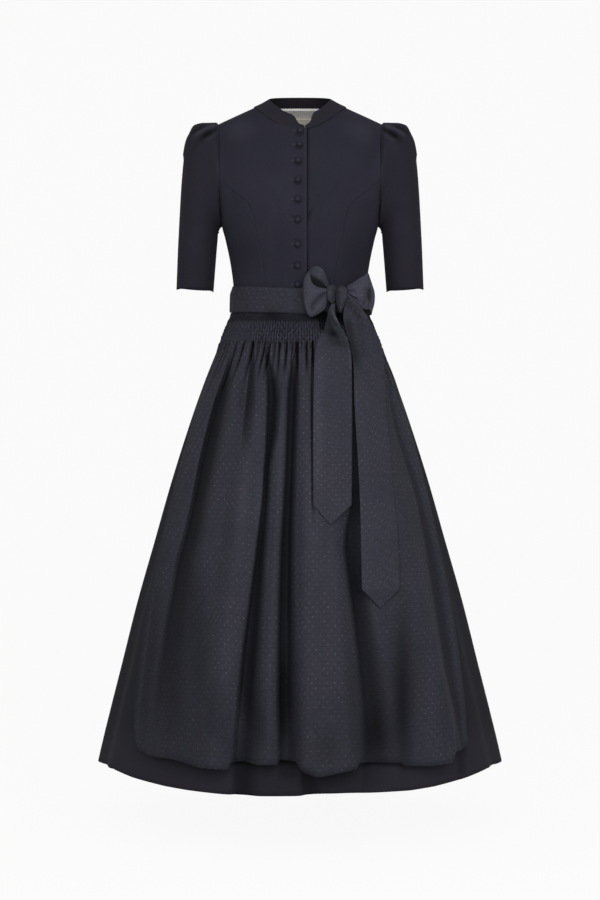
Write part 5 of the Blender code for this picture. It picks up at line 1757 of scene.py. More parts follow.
# The deep folds of the apron, as they are seen
DEEP_FOLDS = (
    valley(
        (352, 229, 231.5, 0), (358, 228, 232, 4), (367, 225, 232.5, 9), (383, 219, 231.5, 13),
        (400, 212.5, 229, 16),
        (433, 203.5, 222.5, 17), (467, 195.5, 216, 16), (500, 189.5, 209, 15), (530, 182, 205, 14),
        (560, 173, 198, 12), (620, 161, 195, 9), (690, 150, 190, 5), (740, 146, 186, 0),
    ),
    valley(
        (341, 251.5, 254, 5), (360, 249.5, 254.5, 8), (400, 245, 255, 10), (433, 240.5, 252, 7),
        (452, 237, 250, 0),
    ),
    valley(
        (337, 264.5, 266.5, 0), (343, 264.3, 267.5, 4), (352, 264, 269, 7), (367, 264.8, 272, 11),
        (383, 265.6, 277, 15), (400, 265.5, 279.5, 18), (433, 264.8, 277.5, 19), (450, 264.3, 273.5, 18),
        (467, 263.0, 270.5, 17), (500, 261.2, 269, 17), (530, 257.3, 267, 18), (560, 253.6, 265, 19),
        (600, 248.0, 263, 19), (650, 240.6, 260, 18), (700, 235.0, 259, 14), (740, 231.5, 257, 10),
        (795, 228, 257, 8),
    ),
    valley(
        (337, 296.3, 298, 0), (343, 295.0, 298.3, 5), (367, 290.0, 297.5, 10), (383, 287.0, 298, 15),
        (400, 285.6, 298, 18), (433, 285.0, 296.5, 18), (467, 283.8, 295.3, 18), (500, 281.8, 294.3, 18),
        (530, 280.0, 293.5, 18), (550, 278.6, 293.5, 18), (600, 276.8, 293.5, 18), (650, 275.6, 295, 16),
        (700, 275.0, 297, 13), (740, 276, 298, 9), (780, 276.5, 299, 4),
    ),
    valley(
        (341, 310.8, 313.5, 6), (400, 309.8, 313.5, 9), (450, 310.3, 313.5, 8), (500, 310.8, 314, 6),
        (535, 312.5, 316, 0),
    ),
    valley(
        (350, 351, 357, 3), (367, 351, 358, 6), (433, 351, 359.5, 8), (467, 350.6, 361, 10),
        (500, 349.6, 363.5, 12),
        (530, 342.6, 362.5, 14), (550, 341.0, 363, 15), (600, 347.5, 369, 14), (650, 353, 379.5, 12),
        (700, 357.5, 388.5, 10), (740, 358.5, 394.5, 8), (790, 358.5, 394.5, 4),
    ),
    valley(
        (372, 386.5, 389, 2), (400, 388, 393, 4), (430, 394, 401, 6), (458, 402, 411, 6), (480, 409, 418, 7),
        (500, 415, 424, 7), (548, 423.6, 436, 8), (586, 429, 444, 8), (623, 435, 450, 8), (671, 442, 457, 8),
        (711, 452, 463, 7), (775, 456, 467, 6),
    ),
    valley((352, 383.5, 385.5, 2), (375, 390, 392.5, 4), (400, 397, 399.5, 3), (425, 405.5, 408, 0)),
    valley((560, 160, 168, 0), (600, 151, 163, 3), (650, 144, 157, 4), (700, 138, 151, 4), (750, 134, 146, 0)),
    valley((765, 300, 312, 0), (776, 300, 316, 6), (800, 300, 326, 8)),
)
# A fold across its width, from its sharp edge: how far the lip before it reaches and how high it stands,
# where its steep wall ends, where its floor ends, and where it is out again
LIP_REACH = 0.6
VALLEY_LIP = 1.4 * MM
LIP_FULL = 10.0 * MM
VALLEY_WALL = 0.24
VALLEY_FLOOR = 0.50
VALLEY_END = 1.15


def valley_drop(rows, x, z):
    """How deep one fold is at a place of the front view."""
    if z > rows[0].z or z < rows[-1].z:
        return 0.0
    i = next(k for k in range(len(rows) - 1) if rows[k + 1].z <= z)
    a, b = rows[i], rows[i + 1]
    t = (z - a.z) / (b.z - a.z)
    sharp, soft, depth = (a[k] + (b[k] - a[k]) * t for k in (1, 2, 3))
    share = (x - sharp) / (soft - sharp)
    if share < -LIP_REACH or share > VALLEY_END:
        return 0.0
    if share < 0:
        return -VALLEY_LIP * math.sin(math.pi * (share + LIP_REACH) / LIP_REACH) * min(depth / LIP_FULL, 1.0)
    if share < VALLEY_WALL:
        return depth * ease(share / VALLEY_WALL)
    if share < VALLEY_FLOOR:
        return depth
    return depth * (1 - ease((share - VALLEY_FLOOR) / (VALLEY_END - VALLEY_FLOOR)))


def deep_folds(point):
    """How far the apron falls into its deep folds at a point of its plain form."""
    if point.y > 0:
        return 0.0
    x, z = front_view(point)
    return sum(valley_drop(rows, x, z) for rows in DEEP_FOLDS)


# The smocking: how many pleats, columns of points for each and rows of cells, where it starts and ends
# under the band, how far its tubes sway from side to side, and how high they stand
SMOCK_PLEATS = 78
SMOCK_COLUMNS = 6
SMOCK_BANDS = 6
SMOCK_TOP = 0.018
SMOCK_LOW = 0.058
SMOCK_SWAY = 0.20
SMOCK_RISE = 3.1 * MM
# Where cloth opens under the smocking: the angle of each gap, how deep and wide it is, and how far down it reaches
RELEASE_GAPS = table(
    "angle depth width reach",
    (-73.0, 0.0040, 1.6, 0.10), (-66.5, 0.0035, 1.4, 0.08), (-61.0, 0.0045, 1.6, 0.11),
    (-57.0, 0.0040, 1.4, 0.07),
    (-48.0, 0.0050, 1.6, 0.10), (-41.0, 0.0055, 1.5, 0.09), (-33.4, 0.0060, 1.6, 0.08),
    (-28.5, 0.0035, 1.0, 0.05),
    (-24.3, 0.0060, 1.1, 0.07), (-20.7, 0.0055, 1.2, 0.07), (-17.0, 0.0040, 1.0, 0.05),
    (-13.7, 0.0055, 1.1, 0.07),
    (-9.0, 0.0060, 1.3, 0.06), (-5.2, 0.0040, 1.0, 0.05), (-1.9, 0.0060, 1.3, 0.07), (4.2, 0.0055, 1.1, 0.06),
    (8.5, 0.0060, 1.1, 0.09), (13.0, 0.0050, 1.2, 0.06), (17.5, 0.0055, 1.4, 0.08), (22.5, 0.0045, 1.2, 0.06),
    (27.5, 0.0055, 1.4, 0.08), (33.0, 0.0050, 1.4, 0.07), (38.0, 0.0055, 1.5, 0.09), (44.0, 0.0045, 1.4, 0.07),
    (50.0, 0.0055, 1.6, 0.09), (56.5, 0.0045, 1.5, 0.08), (62.5, 0.0045, 1.6, 0.10), (69.0, 0.0040, 1.6, 0.09),
)
# The apron's sides, by the angle at each height, and its hem as it shows from the front
APRON_SIDES = table(
    "z angle",
    (-0.395, 77.0), (-0.454, 75.0), (-0.600, 68.0), (-0.800, 63.0), (-1.000, 58.5), (-1.150, 55.0),
    (-1.260, 51.5),
)
HEM_LINE = (
    (-0.333, -1.246), (-0.325, -1.264), (-0.299, -1.276), (-0.250, -1.284), (-0.199, -1.300), (-0.143, -1.304),
    (-0.139, -1.290), (-0.112, -1.288), (-0.089, -1.294), (-0.045, -1.294), (-0.041, -1.284), (-0.009, -1.288),
    (0.007, -1.310), (0.025, -1.318), (0.043, -1.318), (0.081, -1.310), (0.113, -1.302), (0.119, -1.290),
    (0.203, -1.290), (0.209, -1.296), (0.261, -1.296), (0.305, -1.290), (0.311, -1.270), (0.327, -1.262),
    (0.339, -1.246),
)
# Painted shade in the corners under the bow: their places on a front view, their sizes and how dark they are
PAINTED_CORNER_SHADE = (
    (0.077, -0.404, 0.021, 1.8), (0.0450, -0.393, 0.015, 3.0), (0.0470, -0.404, 0.014, 3.4),
    (0.0455, -0.418, 0.012, 3.0),
    (0.0300, -0.392, 0.018, 0.5), (-0.055, -0.389, 0.030, 0.35),
)
# The rows of the apron's grid: to the end of the smocking, past it, and down to the hem
SMOCK_ROWS = 26
RELEASE_ROWS = 12
RELEASE_DEPTH = 0.060
FALL_ROWS = 52
HEM_START = -1.24
HEM_TRIES = 4
# The apron's shade: where the smocking's shade sets in under the band, and the depths that count as full shade
SHADE_START = 0.014
SHADE_SOFT = 0.008
SHADE_END = 0.03
FULL_GAP = 4.2 * MM
FULL_FOLD = 13.5 * MM
DEEPEST = 1.4


def apron_surface(angle, z):
    """A point of the apron's plain form, without its smocking and deep folds."""
    settle = ease((BAND[0].low - z) / (BAND[0].low - APRON_CLEAR_FULL))
    clear = APRON_CLEAR_TOP + (APRON_CLEAR - APRON_CLEAR_TOP) * settle
    return skirt_form(angle, z, clear + fold_raise(APRON_FOLDS, angle, z))


@lru_cache(maxsize=None)
def apron_side(z):
    """The angle of the apron's side at a height."""
    return read(APRON_SIDES, "angle", z)


def apron_top(angle):
    """The height of the apron's top edge, under the band."""
    return band_edge("low", angle) - BAND_EDGE_DROP - SEAM_GAP


@lru_cache(maxsize=None)
def apron_low(angle):
    """The height of the hem at an angle, so that it shows from the front as the hem line does."""
    z = HEM_START
    for _ in range(HEM_TRIES):
        point = apron_surface(angle, z)
        shown_z = between(HEM_LINE, front_view(point)[0])
        z = SIGHT_Z + (shown_z - SIGHT_Z) * (SIGHT + point.y) / SIGHT
    return z


def smock_height(share, depth, angle):
    """How high the smocked tubes stand: share is along the row, depth is under the band."""
    tubes = share * SMOCK_PLEATS
    inside = (depth - SMOCK_TOP) / (SMOCK_LOW - SMOCK_TOP)
    sway = 0.0
    pinch = 1.0
    if 0 <= inside <= 1:
        band = inside * SMOCK_BANDS
        which = 1 if round(tubes) % 2 else -1
        sway = SMOCK_SWAY * which * math.cos(math.pi * band)
        pinch = 0.70 + 0.30 * math.sin(math.pi * (band % 1))
    off = tubes - round(tubes)
    uneven = noise.noise(Vector((round(tubes) * 0.83, math.floor(inside * SMOCK_BANDS) * 1.31, 5.0)))
    pinch *= 1 + 1.1 * uneven
    wave = abs(math.cos(math.pi * (off + sway * (1 - 4 * off * off))))
    rise = SMOCK_RISE
    if depth < SMOCK_TOP:
        rise = SMOCK_RISE * (0.22 + 0.78 * ease((depth / SMOCK_TOP - 0.5) * 2))
    elif depth > SMOCK_LOW:
        rise = SMOCK_RISE * (1 - ease((depth - SMOCK_LOW) / 0.040))
    rise *= 1 - 0.45 * ease((abs(angle + 4) - 44) / 14)
    return rise * pinch * wave


def gap_depth(angle, depth):
    """How far the cloth falls in between the folds that leave the smocking."""
    total = 0.0
    for gap in RELEASE_GAPS:
        away = abs(angle - gap.angle) / (0.62 * gap.width)
        if away < 3:
            start = ease((depth - SMOCK_LOW + 0.006) / 0.012)
            end = 1 - ease((depth - SMOCK_LOW - 0.018) / gap.reach)
            total += 1.15 * gap.depth * math.exp(-away * away) * start * end
    return total


def apron_heights():
    """The height of each row of the apron, as a function of the angle."""
    depths = [SMOCK_LOW * k / SMOCK_ROWS for k in range(SMOCK_ROWS + 1)]
    depths += [SMOCK_LOW + RELEASE_DEPTH * k / RELEASE_ROWS for k in range(1, RELEASE_ROWS + 1)]
    heights = [(lambda angle, d=depth: apron_top(angle) - d) for depth in depths]
    last = depths[-1]
    for share in even_shares(FALL_ROWS)[1:]:
        heights.append(lambda angle, s=share: (apron_top(angle) - last) * (1 - s) + apron_low(angle) * s)
    return heights


def apron_shade(point, angle, share, depth, smock, drop, deep):
    """How deep in shade the apron is at a point: share is -1 and 1 at its sides, and depth is under the band."""
    shade = max(drop / FULL_GAP, 0.0) + 1.06 * min(max(deep, 0.0) / FULL_FOLD, 1.0) + soft_shade(point)
    if depth < SMOCK_LOW + 0.02:
        started = ease((depth - SHADE_START) / SHADE_SOFT)
        shown = started * (1 - ease((depth - SMOCK_LOW) / SHADE_END))
        shown *= 1 - 0.6 * ease((-angle - 30) / 8)
        shade += (1.5 * max(1 - smock / SMOCK_RISE, 0.0) ** 1.5 - 0.34) * shown
        shade += 0.80 * (1 - started)
    shade += 0.30 * (1 - ease((1 - abs(share)) / 0.030))
    shade += 0.26 * (1 - ease((1 + share) / 0.110))
    return min(shade + corner_shade(point), DEEPEST)


class DIRNDL_OT_apron(bpy.types.Operator):
    """Makes the apron: smocked under the band and released into folds"""

    bl_idname = "dirndl.apron"
    bl_label = "Apron"

    def execute(self, context):
        columns = SMOCK_COLUMNS * SMOCK_PLEATS
        rows, amounts, folds, backs = [], [], [], []
        for height in apron_heights():
            row, line, tint, back = [], [], [], []
            for k in range(columns + 1):
                share = 2 * k / columns - 1
                angle = apron_side(height(apron_side(-0.5) * share)) * share
                z = height(angle)
                depth = apron_top(angle) - z
                point = apron_surface(angle, z)
                smock = smock_height(k / columns, depth, angle)
                drop = gap_depth(angle, depth)
                deep = deep_folds(point)
                row.append(point)
                line.append(smock - drop)
                back.append(deep)
                tint.append(apron_shade(point, angle, share, depth, smock, drop, deep))
            rows.append(row)
            amounts.append(line)
            folds.append(tint)
            backs.append(back)
        places = cloth_places(rows)
        rows = raised(rows, amounts)
        rows = [[p + Vector((0, d, 0)) for p, d in zip(*both)] for both in zip(rows, backs)]
        thick = context.scene.dirndl_sizes.apron_thickness
        sheet_of(
            "apron", rows, "apron",
            thickness=thick, places=places, folds=folds,
        )
        return {"FINISHED"}


# Shade of the apron and the bodice


# Broad soft patches of painted shade on the apron, and of painted light where the amount is below 0: place on a front
# view, half width, half height and how deep in shade
SOFT_SHADES = (
    (-0.262, -1.160, 0.105, 0.420, 0.40), (0.000, -1.270, 0.420, 0.260, 0.28),
    (-0.105, -0.330, 0.060, 0.050, 0.10),
    (-0.030, -0.900, 0.060, 0.300, 0.14), (0.120, -1.120, 0.070, 0.260, 0.16),
    (-0.115, -0.560, 0.018, 0.080, 0.35),
    (-0.200, -1.030, 0.032, 0.240, 0.45), (-0.164, -1.195, 0.034, 0.120, 0.40),
    (-0.118, -0.754, 0.030, 0.130, -0.38),
    (-0.080, -0.772, 0.022, 0.090, -0.30), (-0.078, -1.212, 0.026, 0.090, 0.42),
    (-0.119, -1.212, 0.022, 0.090, -0.36),
    (0.028, -0.760, 0.022, 0.200, -0.40), (0.207, -1.140, 0.032, 0.280, 0.78),
    (0.188, -1.160, 0.062, 0.250, 0.34), (0.238, -1.120, 0.030, 0.200, 0.25),
    (0.150, -1.240, 0.055, 0.090, 0.30), (0.285, -1.190, 0.032, 0.110, 0.20),
    (0.055, -1.260, 0.045, 0.060, 0.30),
    (-0.034, -1.170, 0.020, 0.130, 0.40), (-0.033, -0.466, 0.060, 0.034, -0.36),
    (-0.040, -0.700, 0.016, 0.160, -0.30),
)
# The same of the bodice
BODICE_SHADES = (
    (-0.122, -0.022, 0.052, 0.040, -0.46), (0.122, -0.022, 0.052, 0.040, -0.46),
    (-0.033, -0.158, 0.050, 0.080, -0.24),
    (-0.108, -0.275, 0.040, 0.070, 0.30), (0.108, -0.275, 0.040, 0.070, 0.20),
    (-0.152, -0.170, 0.026, 0.060, -0.34),
    (0.152, -0.170, 0.026, 0.060, -0.20), (-0.155, -0.110, 0.020, 0.060, -0.30),
    (0.155, -0.110, 0.020, 0.060, -0.30),
)


def soft_shade(point, shades=SOFT_SHADES):
    """How much painted shade a point gets from the broad soft patches, below 0 where painted light makes the cloth
    lighter.
    """
    x, z = front_view(point)
    total = 0.0
    for cx, cz, half_x, half_z, amount in shades:
        if abs(x - cx) < half_x and abs(z - cz) < half_z:
            total += amount * (1 - ease(math.hypot((x - cx) / half_x, (z - cz) / half_z)))
    return total


def edge_shade(point, side):
    """The cloth's shade beside the button edge: lighter on the rolled edge, and deep under it."""
    x, z = front_view(point)
    broad = soft_shade(point, BODICE_SHADES) + arm_shade(point)
    if abs(x) > 0.030 or point.y > 0:
        return broad
    if side > 0:
        return broad + 0.95 * (1 - ease((x - 0.0150) / 0.0036))
    shade = broad - 0.42 * math.exp(-(((x - 0.0108) / 0.0016) ** 2))
    shade += 0.5 * math.exp(-(((x - 0.0140) / 0.0008) ** 2))
    # A ring of painted shadow round each button
    for bx, bz in buttons_seen():
        away = math.hypot(x - bx + 0.0006, z - bz + 0.0008)
        if away < 0.014:
            shade += 0.62 * math.exp(-(((away - 0.0064) / 0.0022) ** 2))
    return shade


def arm_shade(point):
    """Painted light: how much lighter the cloth is made along the upper armhole seam."""
    away = (abs(point.x) - read(ARMHOLE, "x", point.z)) / 0.0060
    return -1.1 * math.exp(-away * away) * (1 - ease((-0.080 - point.z) / 0.080))


def corner_shade(point):
    """How much painted shade a point gets from the corners under the bow."""
    x, z = front_view(point)
    if point.y > 0:
        return 0.0
    total = sum(a * (1 - ease(math.hypot(x - cx, z - cz) / size)) for cx, cz, size, a in PAINTED_CORNER_SHADE)
    return min(total, DEEPEST)


# Band, tie and bow


# Creases of the tie over the band
BAND_CREASES = (
    Crease(((-0.030, -0.3900), (0.010, -0.3860), (0.040, -0.3800)), -0.0010, 0.0028),
    Crease(((-0.060, -0.3870), (-0.020, -0.3840)), -0.0006, 0.0025),
    Crease(((0.000, -0.3560), (0.030, -0.3600), (0.050, -0.3650)), -0.0008, 0.0030),
    Crease(((-0.015, -0.3720), (0.020, -0.3720), (0.050, -0.3700)), -0.0008, 0.0028),
    Crease(((-0.120, -0.3500), (-0.110, -0.3800)), -0.0004, 0.0030),
)
BAND_SIDE_ANGLE = 80.0
TIE_START = 40.0
TIE_PARTING = 1.0
BAND_COLUMN = 1.5
BAND_DIP = 0.6 * MM
# How far the upper edge is drawn in at the sides: by what share, down to where, and from where out
BAND_DRAW_IN = 0.034
BAND_DRAW_DOWN = 0.34
BAND_DRAW_FROM = 0.110
BAND_DRAW_FULL = 0.028


def band_rows(start, end, out, drop):
    """The grid of a band round the waist between two angles, out from the bodice, its low edge drawn up by a drop."""
    count = round((end - start) / BAND_COLUMN)
    rows = []
    for v in spread(0.048, 0.004):
        row = []
        for k in range(count + 1):
            angle = start + (end - start) * k / count
            z = band_edge("top", angle) * (1 - v) + (band_edge("low", angle) - drop) * v
            point = torso(angle, z) + torso_normal(angle, z) * out
            aside = ease((abs(point.x) - BAND_DRAW_FROM) / BAND_DRAW_FULL)
            point.x *= 1 - BAND_DRAW_IN * (1 - ease(v / BAND_DRAW_DOWN)) * aside
            row.append(point)
        rows.append(row)
    return creased(dipped(rows, ("top", "low"), BAND_DIP), BAND_CREASES)


class DIRNDL_OT_band(bpy.types.Operator):
    """Makes the apron's band and the tie that wraps over it"""

    bl_idname = "dirndl.band"
    bl_label = "Band and tie"

    def execute(self, context):
        tie_out = BAND_SEAT + TIE_CLOTH + SEAM_GAP + TIE_CLOTH
        band = band_rows(-BAND_SIDE_ANGLE, BAND_SIDE_ANGLE, BAND_SEAT + TIE_CLOTH, BAND_EDGE_DROP)
        tie = band_rows(TIE_START, TIE_START + 360 - TIE_PARTING, tie_out, 0.0)
        for node, rows, slot in (("apron_band", band, "apron_cloth"), ("waist_tie", tie, "tie_cloth")):
            folds = [[corner_shade(p) for p in row] for row in rows]
            sheet_of(node, rows, "band", thickness=TIE_CLOTH * 0.7, folds=folds)
        return {"FINISHED"}


# The ribbon of each loop from the knot round to the knot: across it, the pixels where it is seen and its depth in mm
RIBBON_RIGHT = (
    ((327.5, 289, -118), (327.2, 291.5, -119), (327, 294, -118), (326.8, 297, -118), (327, 300, -115)),
    ((322, 288.2, -123), (321.5, 291.5, -128), (320.5, 297, -124), (322, 303, -127), (324.5, 308, -120)),
    ((316.5, 286.75, -127), (315, 292.5, -133), (315, 302, -127), (317, 308, -130), (319, 313, -123)),
    ((311.5, 282.6, -128), (308.5, 290.5, -135), (310.3, 308, -130), (311.5, 313, -130), (312, 316.5, -125)),
    ((309.2, 274, -124), (305, 286, -130), (304.6, 303, -129), (307, 313, -127), (309.5, 317, -121)),
    ((309, 270.5, -119), (303.6, 280, -121), (303.4, 297, -121), (305.5, 308, -118), (308, 315, -115)),
    ((311.5, 267.3, -112), (307.5, 275, -109), (306, 290, -107), (307, 303, -106), (309, 312, -106)),
    ((316, 266.3, -107), (313, 276, -103), (311, 290, -102.5), (311, 300, -102.5), (312, 309, -102.5)),
    ((321.5, 268.5, -107), (319, 279, -103), (317, 290, -102.5), (316, 299, -102.5), (317, 306, -102.5)),
    ((325.2, 275, -109), (323.5, 283, -105), (322, 290, -103), (321, 297, -103), (321, 302, -103)),
    ((328.2, 286, -111), (327.8, 289, -108), (327.5, 292, -106), (327.3, 295, -105), (327, 298, -105)),
)
RIBBON_LEFT = (
    ((346.8, 286, -111), (347.0, 289, -113), (347.2, 292, -114), (347.2, 295.5, -114), (347.0, 299, -111)),
    ((351, 283.5, -114), (351.5, 288, -119), (352, 293, -119), (353, 297, -116), (353.5, 301, -113)),
    ((356.5, 280, -116), (357, 286.5, -122), (357.5, 293, -122), (358, 299, -119), (358.5, 304.5, -113)),
    ((362.3, 276.3, -116), (363, 285, -122), (363, 293, -121), (363, 300, -118), (363, 308.5, -111)),
    ((366.5, 273.3, -112), (367.6, 284, -117), (367.8, 292, -116), (367.6, 301, -113), (366.5, 309.5, -106)),
    ((367.5, 273, -109), (369, 284, -110), (368.9, 292, -105), (368.7, 300, -104), (368.5, 309, -102)),
    ((368.5, 275, -104), (371.5, 286, -106), (372.8, 294, -106), (372.3, 303, -104), (371, 314, -99)),
    ((369, 277.5, -96), (373, 289, -97), (374, 297, -96), (373.5, 305, -94), (370, 315, -92)),
    ((368, 279, -84), (372, 289, -83), (373, 297, -83), (371, 306, -83), (367, 315, -82)),
    ((361, 283, -79), (362, 289, -79), (362, 295, -79), (361.5, 304, -79), (361, 312, -79)),
    ((354, 286, -84), (354, 289, -84), (354, 293, -84), (354, 297, -84), (354, 302, -84)),
    ((348.5, 288, -93), (348.5, 290, -93), (348.5, 293, -93), (348.5, 296, -93), (348.5, 298, -93)),
)


def lobe_seen(*rows):
    """A lobe of the knot as it is seen, in pixels: how far down, its middle across and half its width."""
    made = [(seen(middle, down)[1], seen(middle, down)[0], half * PIXEL) for down, middle, half in rows]
    return table("z x half_width", *made)


LOBE_RIGHT = lobe_seen(
    (284.6, 331.3, 0.0), (285.6, 331.2, 3.0), (287.5, 330.9, 4.4), (291, 330.4, 5.0), (295, 330.2, 4.9),
    (298.5, 330.6, 4.6), (301, 331.2, 3.6), (302.8, 331.8, 2.0), (303.6, 332, 0),
)
LOBE_LEFT = lobe_seen(
    (285.4, 340.5, 0.0), (286.6, 340.6, 3.6), (288.6, 341.0, 5.5), (292, 341.3, 6.1), (296, 341.2, 6.2),
    (300, 340.5, 5.5), (304, 340.0, 4.2), (308, 339.8, 2.8), (311, 339.8, 1.5), (313.2, 339.9, 0),
)
LOOP_CREASES = creases_seen(
    (-2.2, 3.2, (326.5, 292.5), (318, 298.6), (312.3, 305), (310.8, 313)),
    (0.8, 4.0, (326.5, 290.5), (318, 289.5), (312, 288)),
    (-3.0, 2.4, (347.5, 294), (352, 296.8), (357.5, 300.2)),
    (1.8, 2.4, (347.5, 292.6), (353, 295.2), (358, 298)),
    (-2.0, 2.4, (348, 291), (353, 290.5)),
    (-1.6, 4.6, (366.25, 288), (366, 296), (363.5, 305)),
    (-2.4, 2.4, (368.8, 288), (368.6, 296), (368.9, 303)),
)
KNOT_CREASES = creases_seen(
    (-2.6, 2.2, (346.6, 293.5), (344, 296), (341.3, 299.8)),
    (-2.0, 2.4, (347, 297.5), (345, 302), (343, 308)),
    (-1.8, 2.4, (338, 289), (337.2, 297), (338.5, 305)),
    (-1.8, 2.2, (333.8, 287), (333.4, 296), (332.4, 301)),
    (-1.0, 1.4, (329.6, 298), (331, 301)),
)
KNOT_DEPTH = 0.0155
KNOT_Y = -0.1105
KNOT_LEAN = 4.0 * MM
LOOP_STEPS = 120
LOOP_COLUMNS = 36
LOOP_FRONT_STEPS = 72
# A loop's crease is in full painted shade at this depth, and the loops get a little painted light all over
FULL_CREASE = 3.4 * MM
LOOP_PAINTED_LIGHT = 0.16


def ribbon_rows(net):
    """A fine grid through a coarse net of places as they are seen, smooth both ways."""
    lines = []
    for row in net:
        points = [real_place(*seen(across, down), depth * MM) for across, down, depth in row]
        lines.append([smooth_point(points, share) for share in even_shares(LOOP_COLUMNS)])
    return [[smooth_point(column, share) for column in zip(*lines)] for share in even_shares(LOOP_STEPS)]


def hollow_painted_shade(first, last, edge, deep):
    """The painted shade of a loop: deep inside its back layer, and none elsewhere."""
    tint = []
    for down in even_shares(LOOP_STEPS):
        inside = deep * ease((down - first) / 0.10) * (1 - ease((down - last) / 0.10))
        tint.append([inside * ease((across - edge) / 0.12) for across in even_shares(LOOP_COLUMNS)])
    return tint


def lobe(bm, rows, lean):
    """One rounded lobe of the knot through its outline, with its creases pressed in."""
    top, low = rows[0].z, rows[-1].z
    made = bmesh.ops.create_uvsphere(bm, u_segments=56, v_segments=40, radius=1.0)
    for vert in made["verts"]:
        turn = math.acos(max(min(vert.co.z, 1.0), -1.0)) / math.pi
        z = top + (low - top) * (0.5 - 0.5 * math.cos(math.pi * turn))
        flat = Vector((vert.co.x, vert.co.y)).normalized() if 0.001 < turn < 0.999 else Vector((0, 0))
        deep = KNOT_DEPTH * math.sqrt(max(1 - ((z - (top + low) / 2) / ((top - low) / 2)) ** 2, 0.0)) ** 0.8
        x = read(rows, "x", z) + flat.x * read(rows, "half_width", z)
        y = KNOT_Y + lean * flat.x * KNOT_LEAN + flat.y * deep
        if flat.y < 0:
            y -= crease_height(KNOT_CREASES, x, z)
        vert.co = real_place(x, z, y)


def turned(grid):
    """A grid with its columns in the other order."""
    return [list(reversed(row)) for row in grid]


def loop_sheet(node, net, tint, thick):
    """One loop of the bow, bent round from the knot to the knot."""
    rows = ribbon_rows(net)
    amounts = []
    for k, row in enumerate(rows):
        amounts.append([crease_height(LOOP_CREASES, *front_view(p)) if k < LOOP_FRONT_STEPS else 0.0 for p in row])
    folds = hollow_painted_shade(*tint)
    if grid_normals(rows)[8][LOOP_COLUMNS // 2].y > 0:
        rows, amounts, folds = turned(rows), turned(amounts), turned(folds)
    rows = raised(rows, amounts)
    for line, heights in zip(folds, amounts):
        for j, height in enumerate(heights):
            line[j] = min(line[j] + max(-height, 0.0) / FULL_CREASE, DEEPEST) - LOOP_PAINTED_LIGHT
    places = [[(v, u) for u, v in line] for line in cloth_places(rows)]
    obj = sheet_of(
        node, rows, "loop", thickness=thick, places=places, folds=folds
    )
    obj.modifiers["Wall"].offset = 0.0


class DIRNDL_OT_bow(bpy.types.Operator):
    """Makes the two loops and the knot of the bow"""

    bl_idname = "dirndl.bow"
    bl_label = "Bow"

    def execute(self, context):
        thick = context.scene.dirndl_sizes.apron_thickness
        loop_sheet("bow_loop_right", RIBBON_RIGHT, (0.56, 0.93, 0.20, 1.5), thick)
        loop_sheet("bow_loop_left", RIBBON_LEFT, (0.72, 1.2, 0.16, 1.0), thick)
        bm = bmesh.new()
        layer = bm.loops.layers.uv.new("cloth")
        lobe(bm, LOBE_RIGHT, 1)
        lobe(bm, LOBE_LEFT, -1)
        for face in bm.faces:
            for loop in face.loops:
                x, z = loop.vert.co.x, loop.vert.co.z
                loop[layer].uv = (x * 0.8 + z * 0.6, z * 0.8 - x * 0.6)
        bmesh.ops.recalc_face_normals(bm, faces=bm.faces)
        obj = cloth_object("bow_knot_cloth", bm, "tie")
        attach(obj, "root")
        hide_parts("bow_knot")
        return {"FINISHED"}


# The two hanging ends as they are seen, and how far each lies over the apron, by the height
EDGES_SHORT = edges_seen(
    (303, 331.5, 335), (309, 328.6, 334.2), (316, 326.5, 335.0), (323, 324.6, 337.6), (330, 322.4, 341.2),
    (337, 318.6, 345.0), (345, 315.6, 348.8), (360, 313.8, 351.2), (382, 313.2, 351.6), (443, 312.5, 351.6),
    (505, 313, 351.1), (524.5, 329.8, 330.2),
)
EDGES_LONG = edges_seen(
    (298, 346.6, 349.5), (301, 345.4, 354), (305, 344, 358.6), (309, 343.2, 362), (317, 342.6, 367),
    (324, 343.8, 371), (332, 346.5, 375), (340, 349.3, 379), (348, 351.6, 381.7), (367, 353.2, 384),
    (407, 354.3, 385.8), (450, 357, 390), (483, 358.8, 392.5), (514, 360, 396), (551, 360.8, 398.4),
    (589.5, 361.6, 399.4), (608, 379.8, 380.2),
)
LIFT_SHORT = (
    (-0.6500, 1.3 * MM), (-0.5050, 3.0 * MM), (-0.4700, 5.0 * MM), (-0.4450, 8.0 * MM), (-0.4200, 11.0 * MM),
    (TAIL_START, 12.0 * MM),
)
LIFT_LONG = (
    (-0.5800, 1.3 * MM), (-0.5200, 4.0 * MM), (-0.4600, 6.0 * MM), (-0.4200, 11.0 * MM),
    (TAIL_START, 12.0 * MM),
)
TAIL_CREASES = creases_seen(
    (5.0, 4.0, (331, 306), (333.2, 316), (336.5, 321.5), (341, 327), (344.5, 335), (347.5, 345)),
    (-3.5, 6.0, (328, 314), (331.5, 323), (336, 330), (340, 338), (343, 348)),
    (-3.0, 7.2, (346, 318), (349, 330), (353, 342), (355, 356)),
    (2.5, 4.0, (350, 300), (355, 303.5), (360, 309)),
    (1.5, 10.0, (362, 320), (372, 335), (378, 352)),
    (-0.8, 6.0, (320, 352), (318, 372)),
)
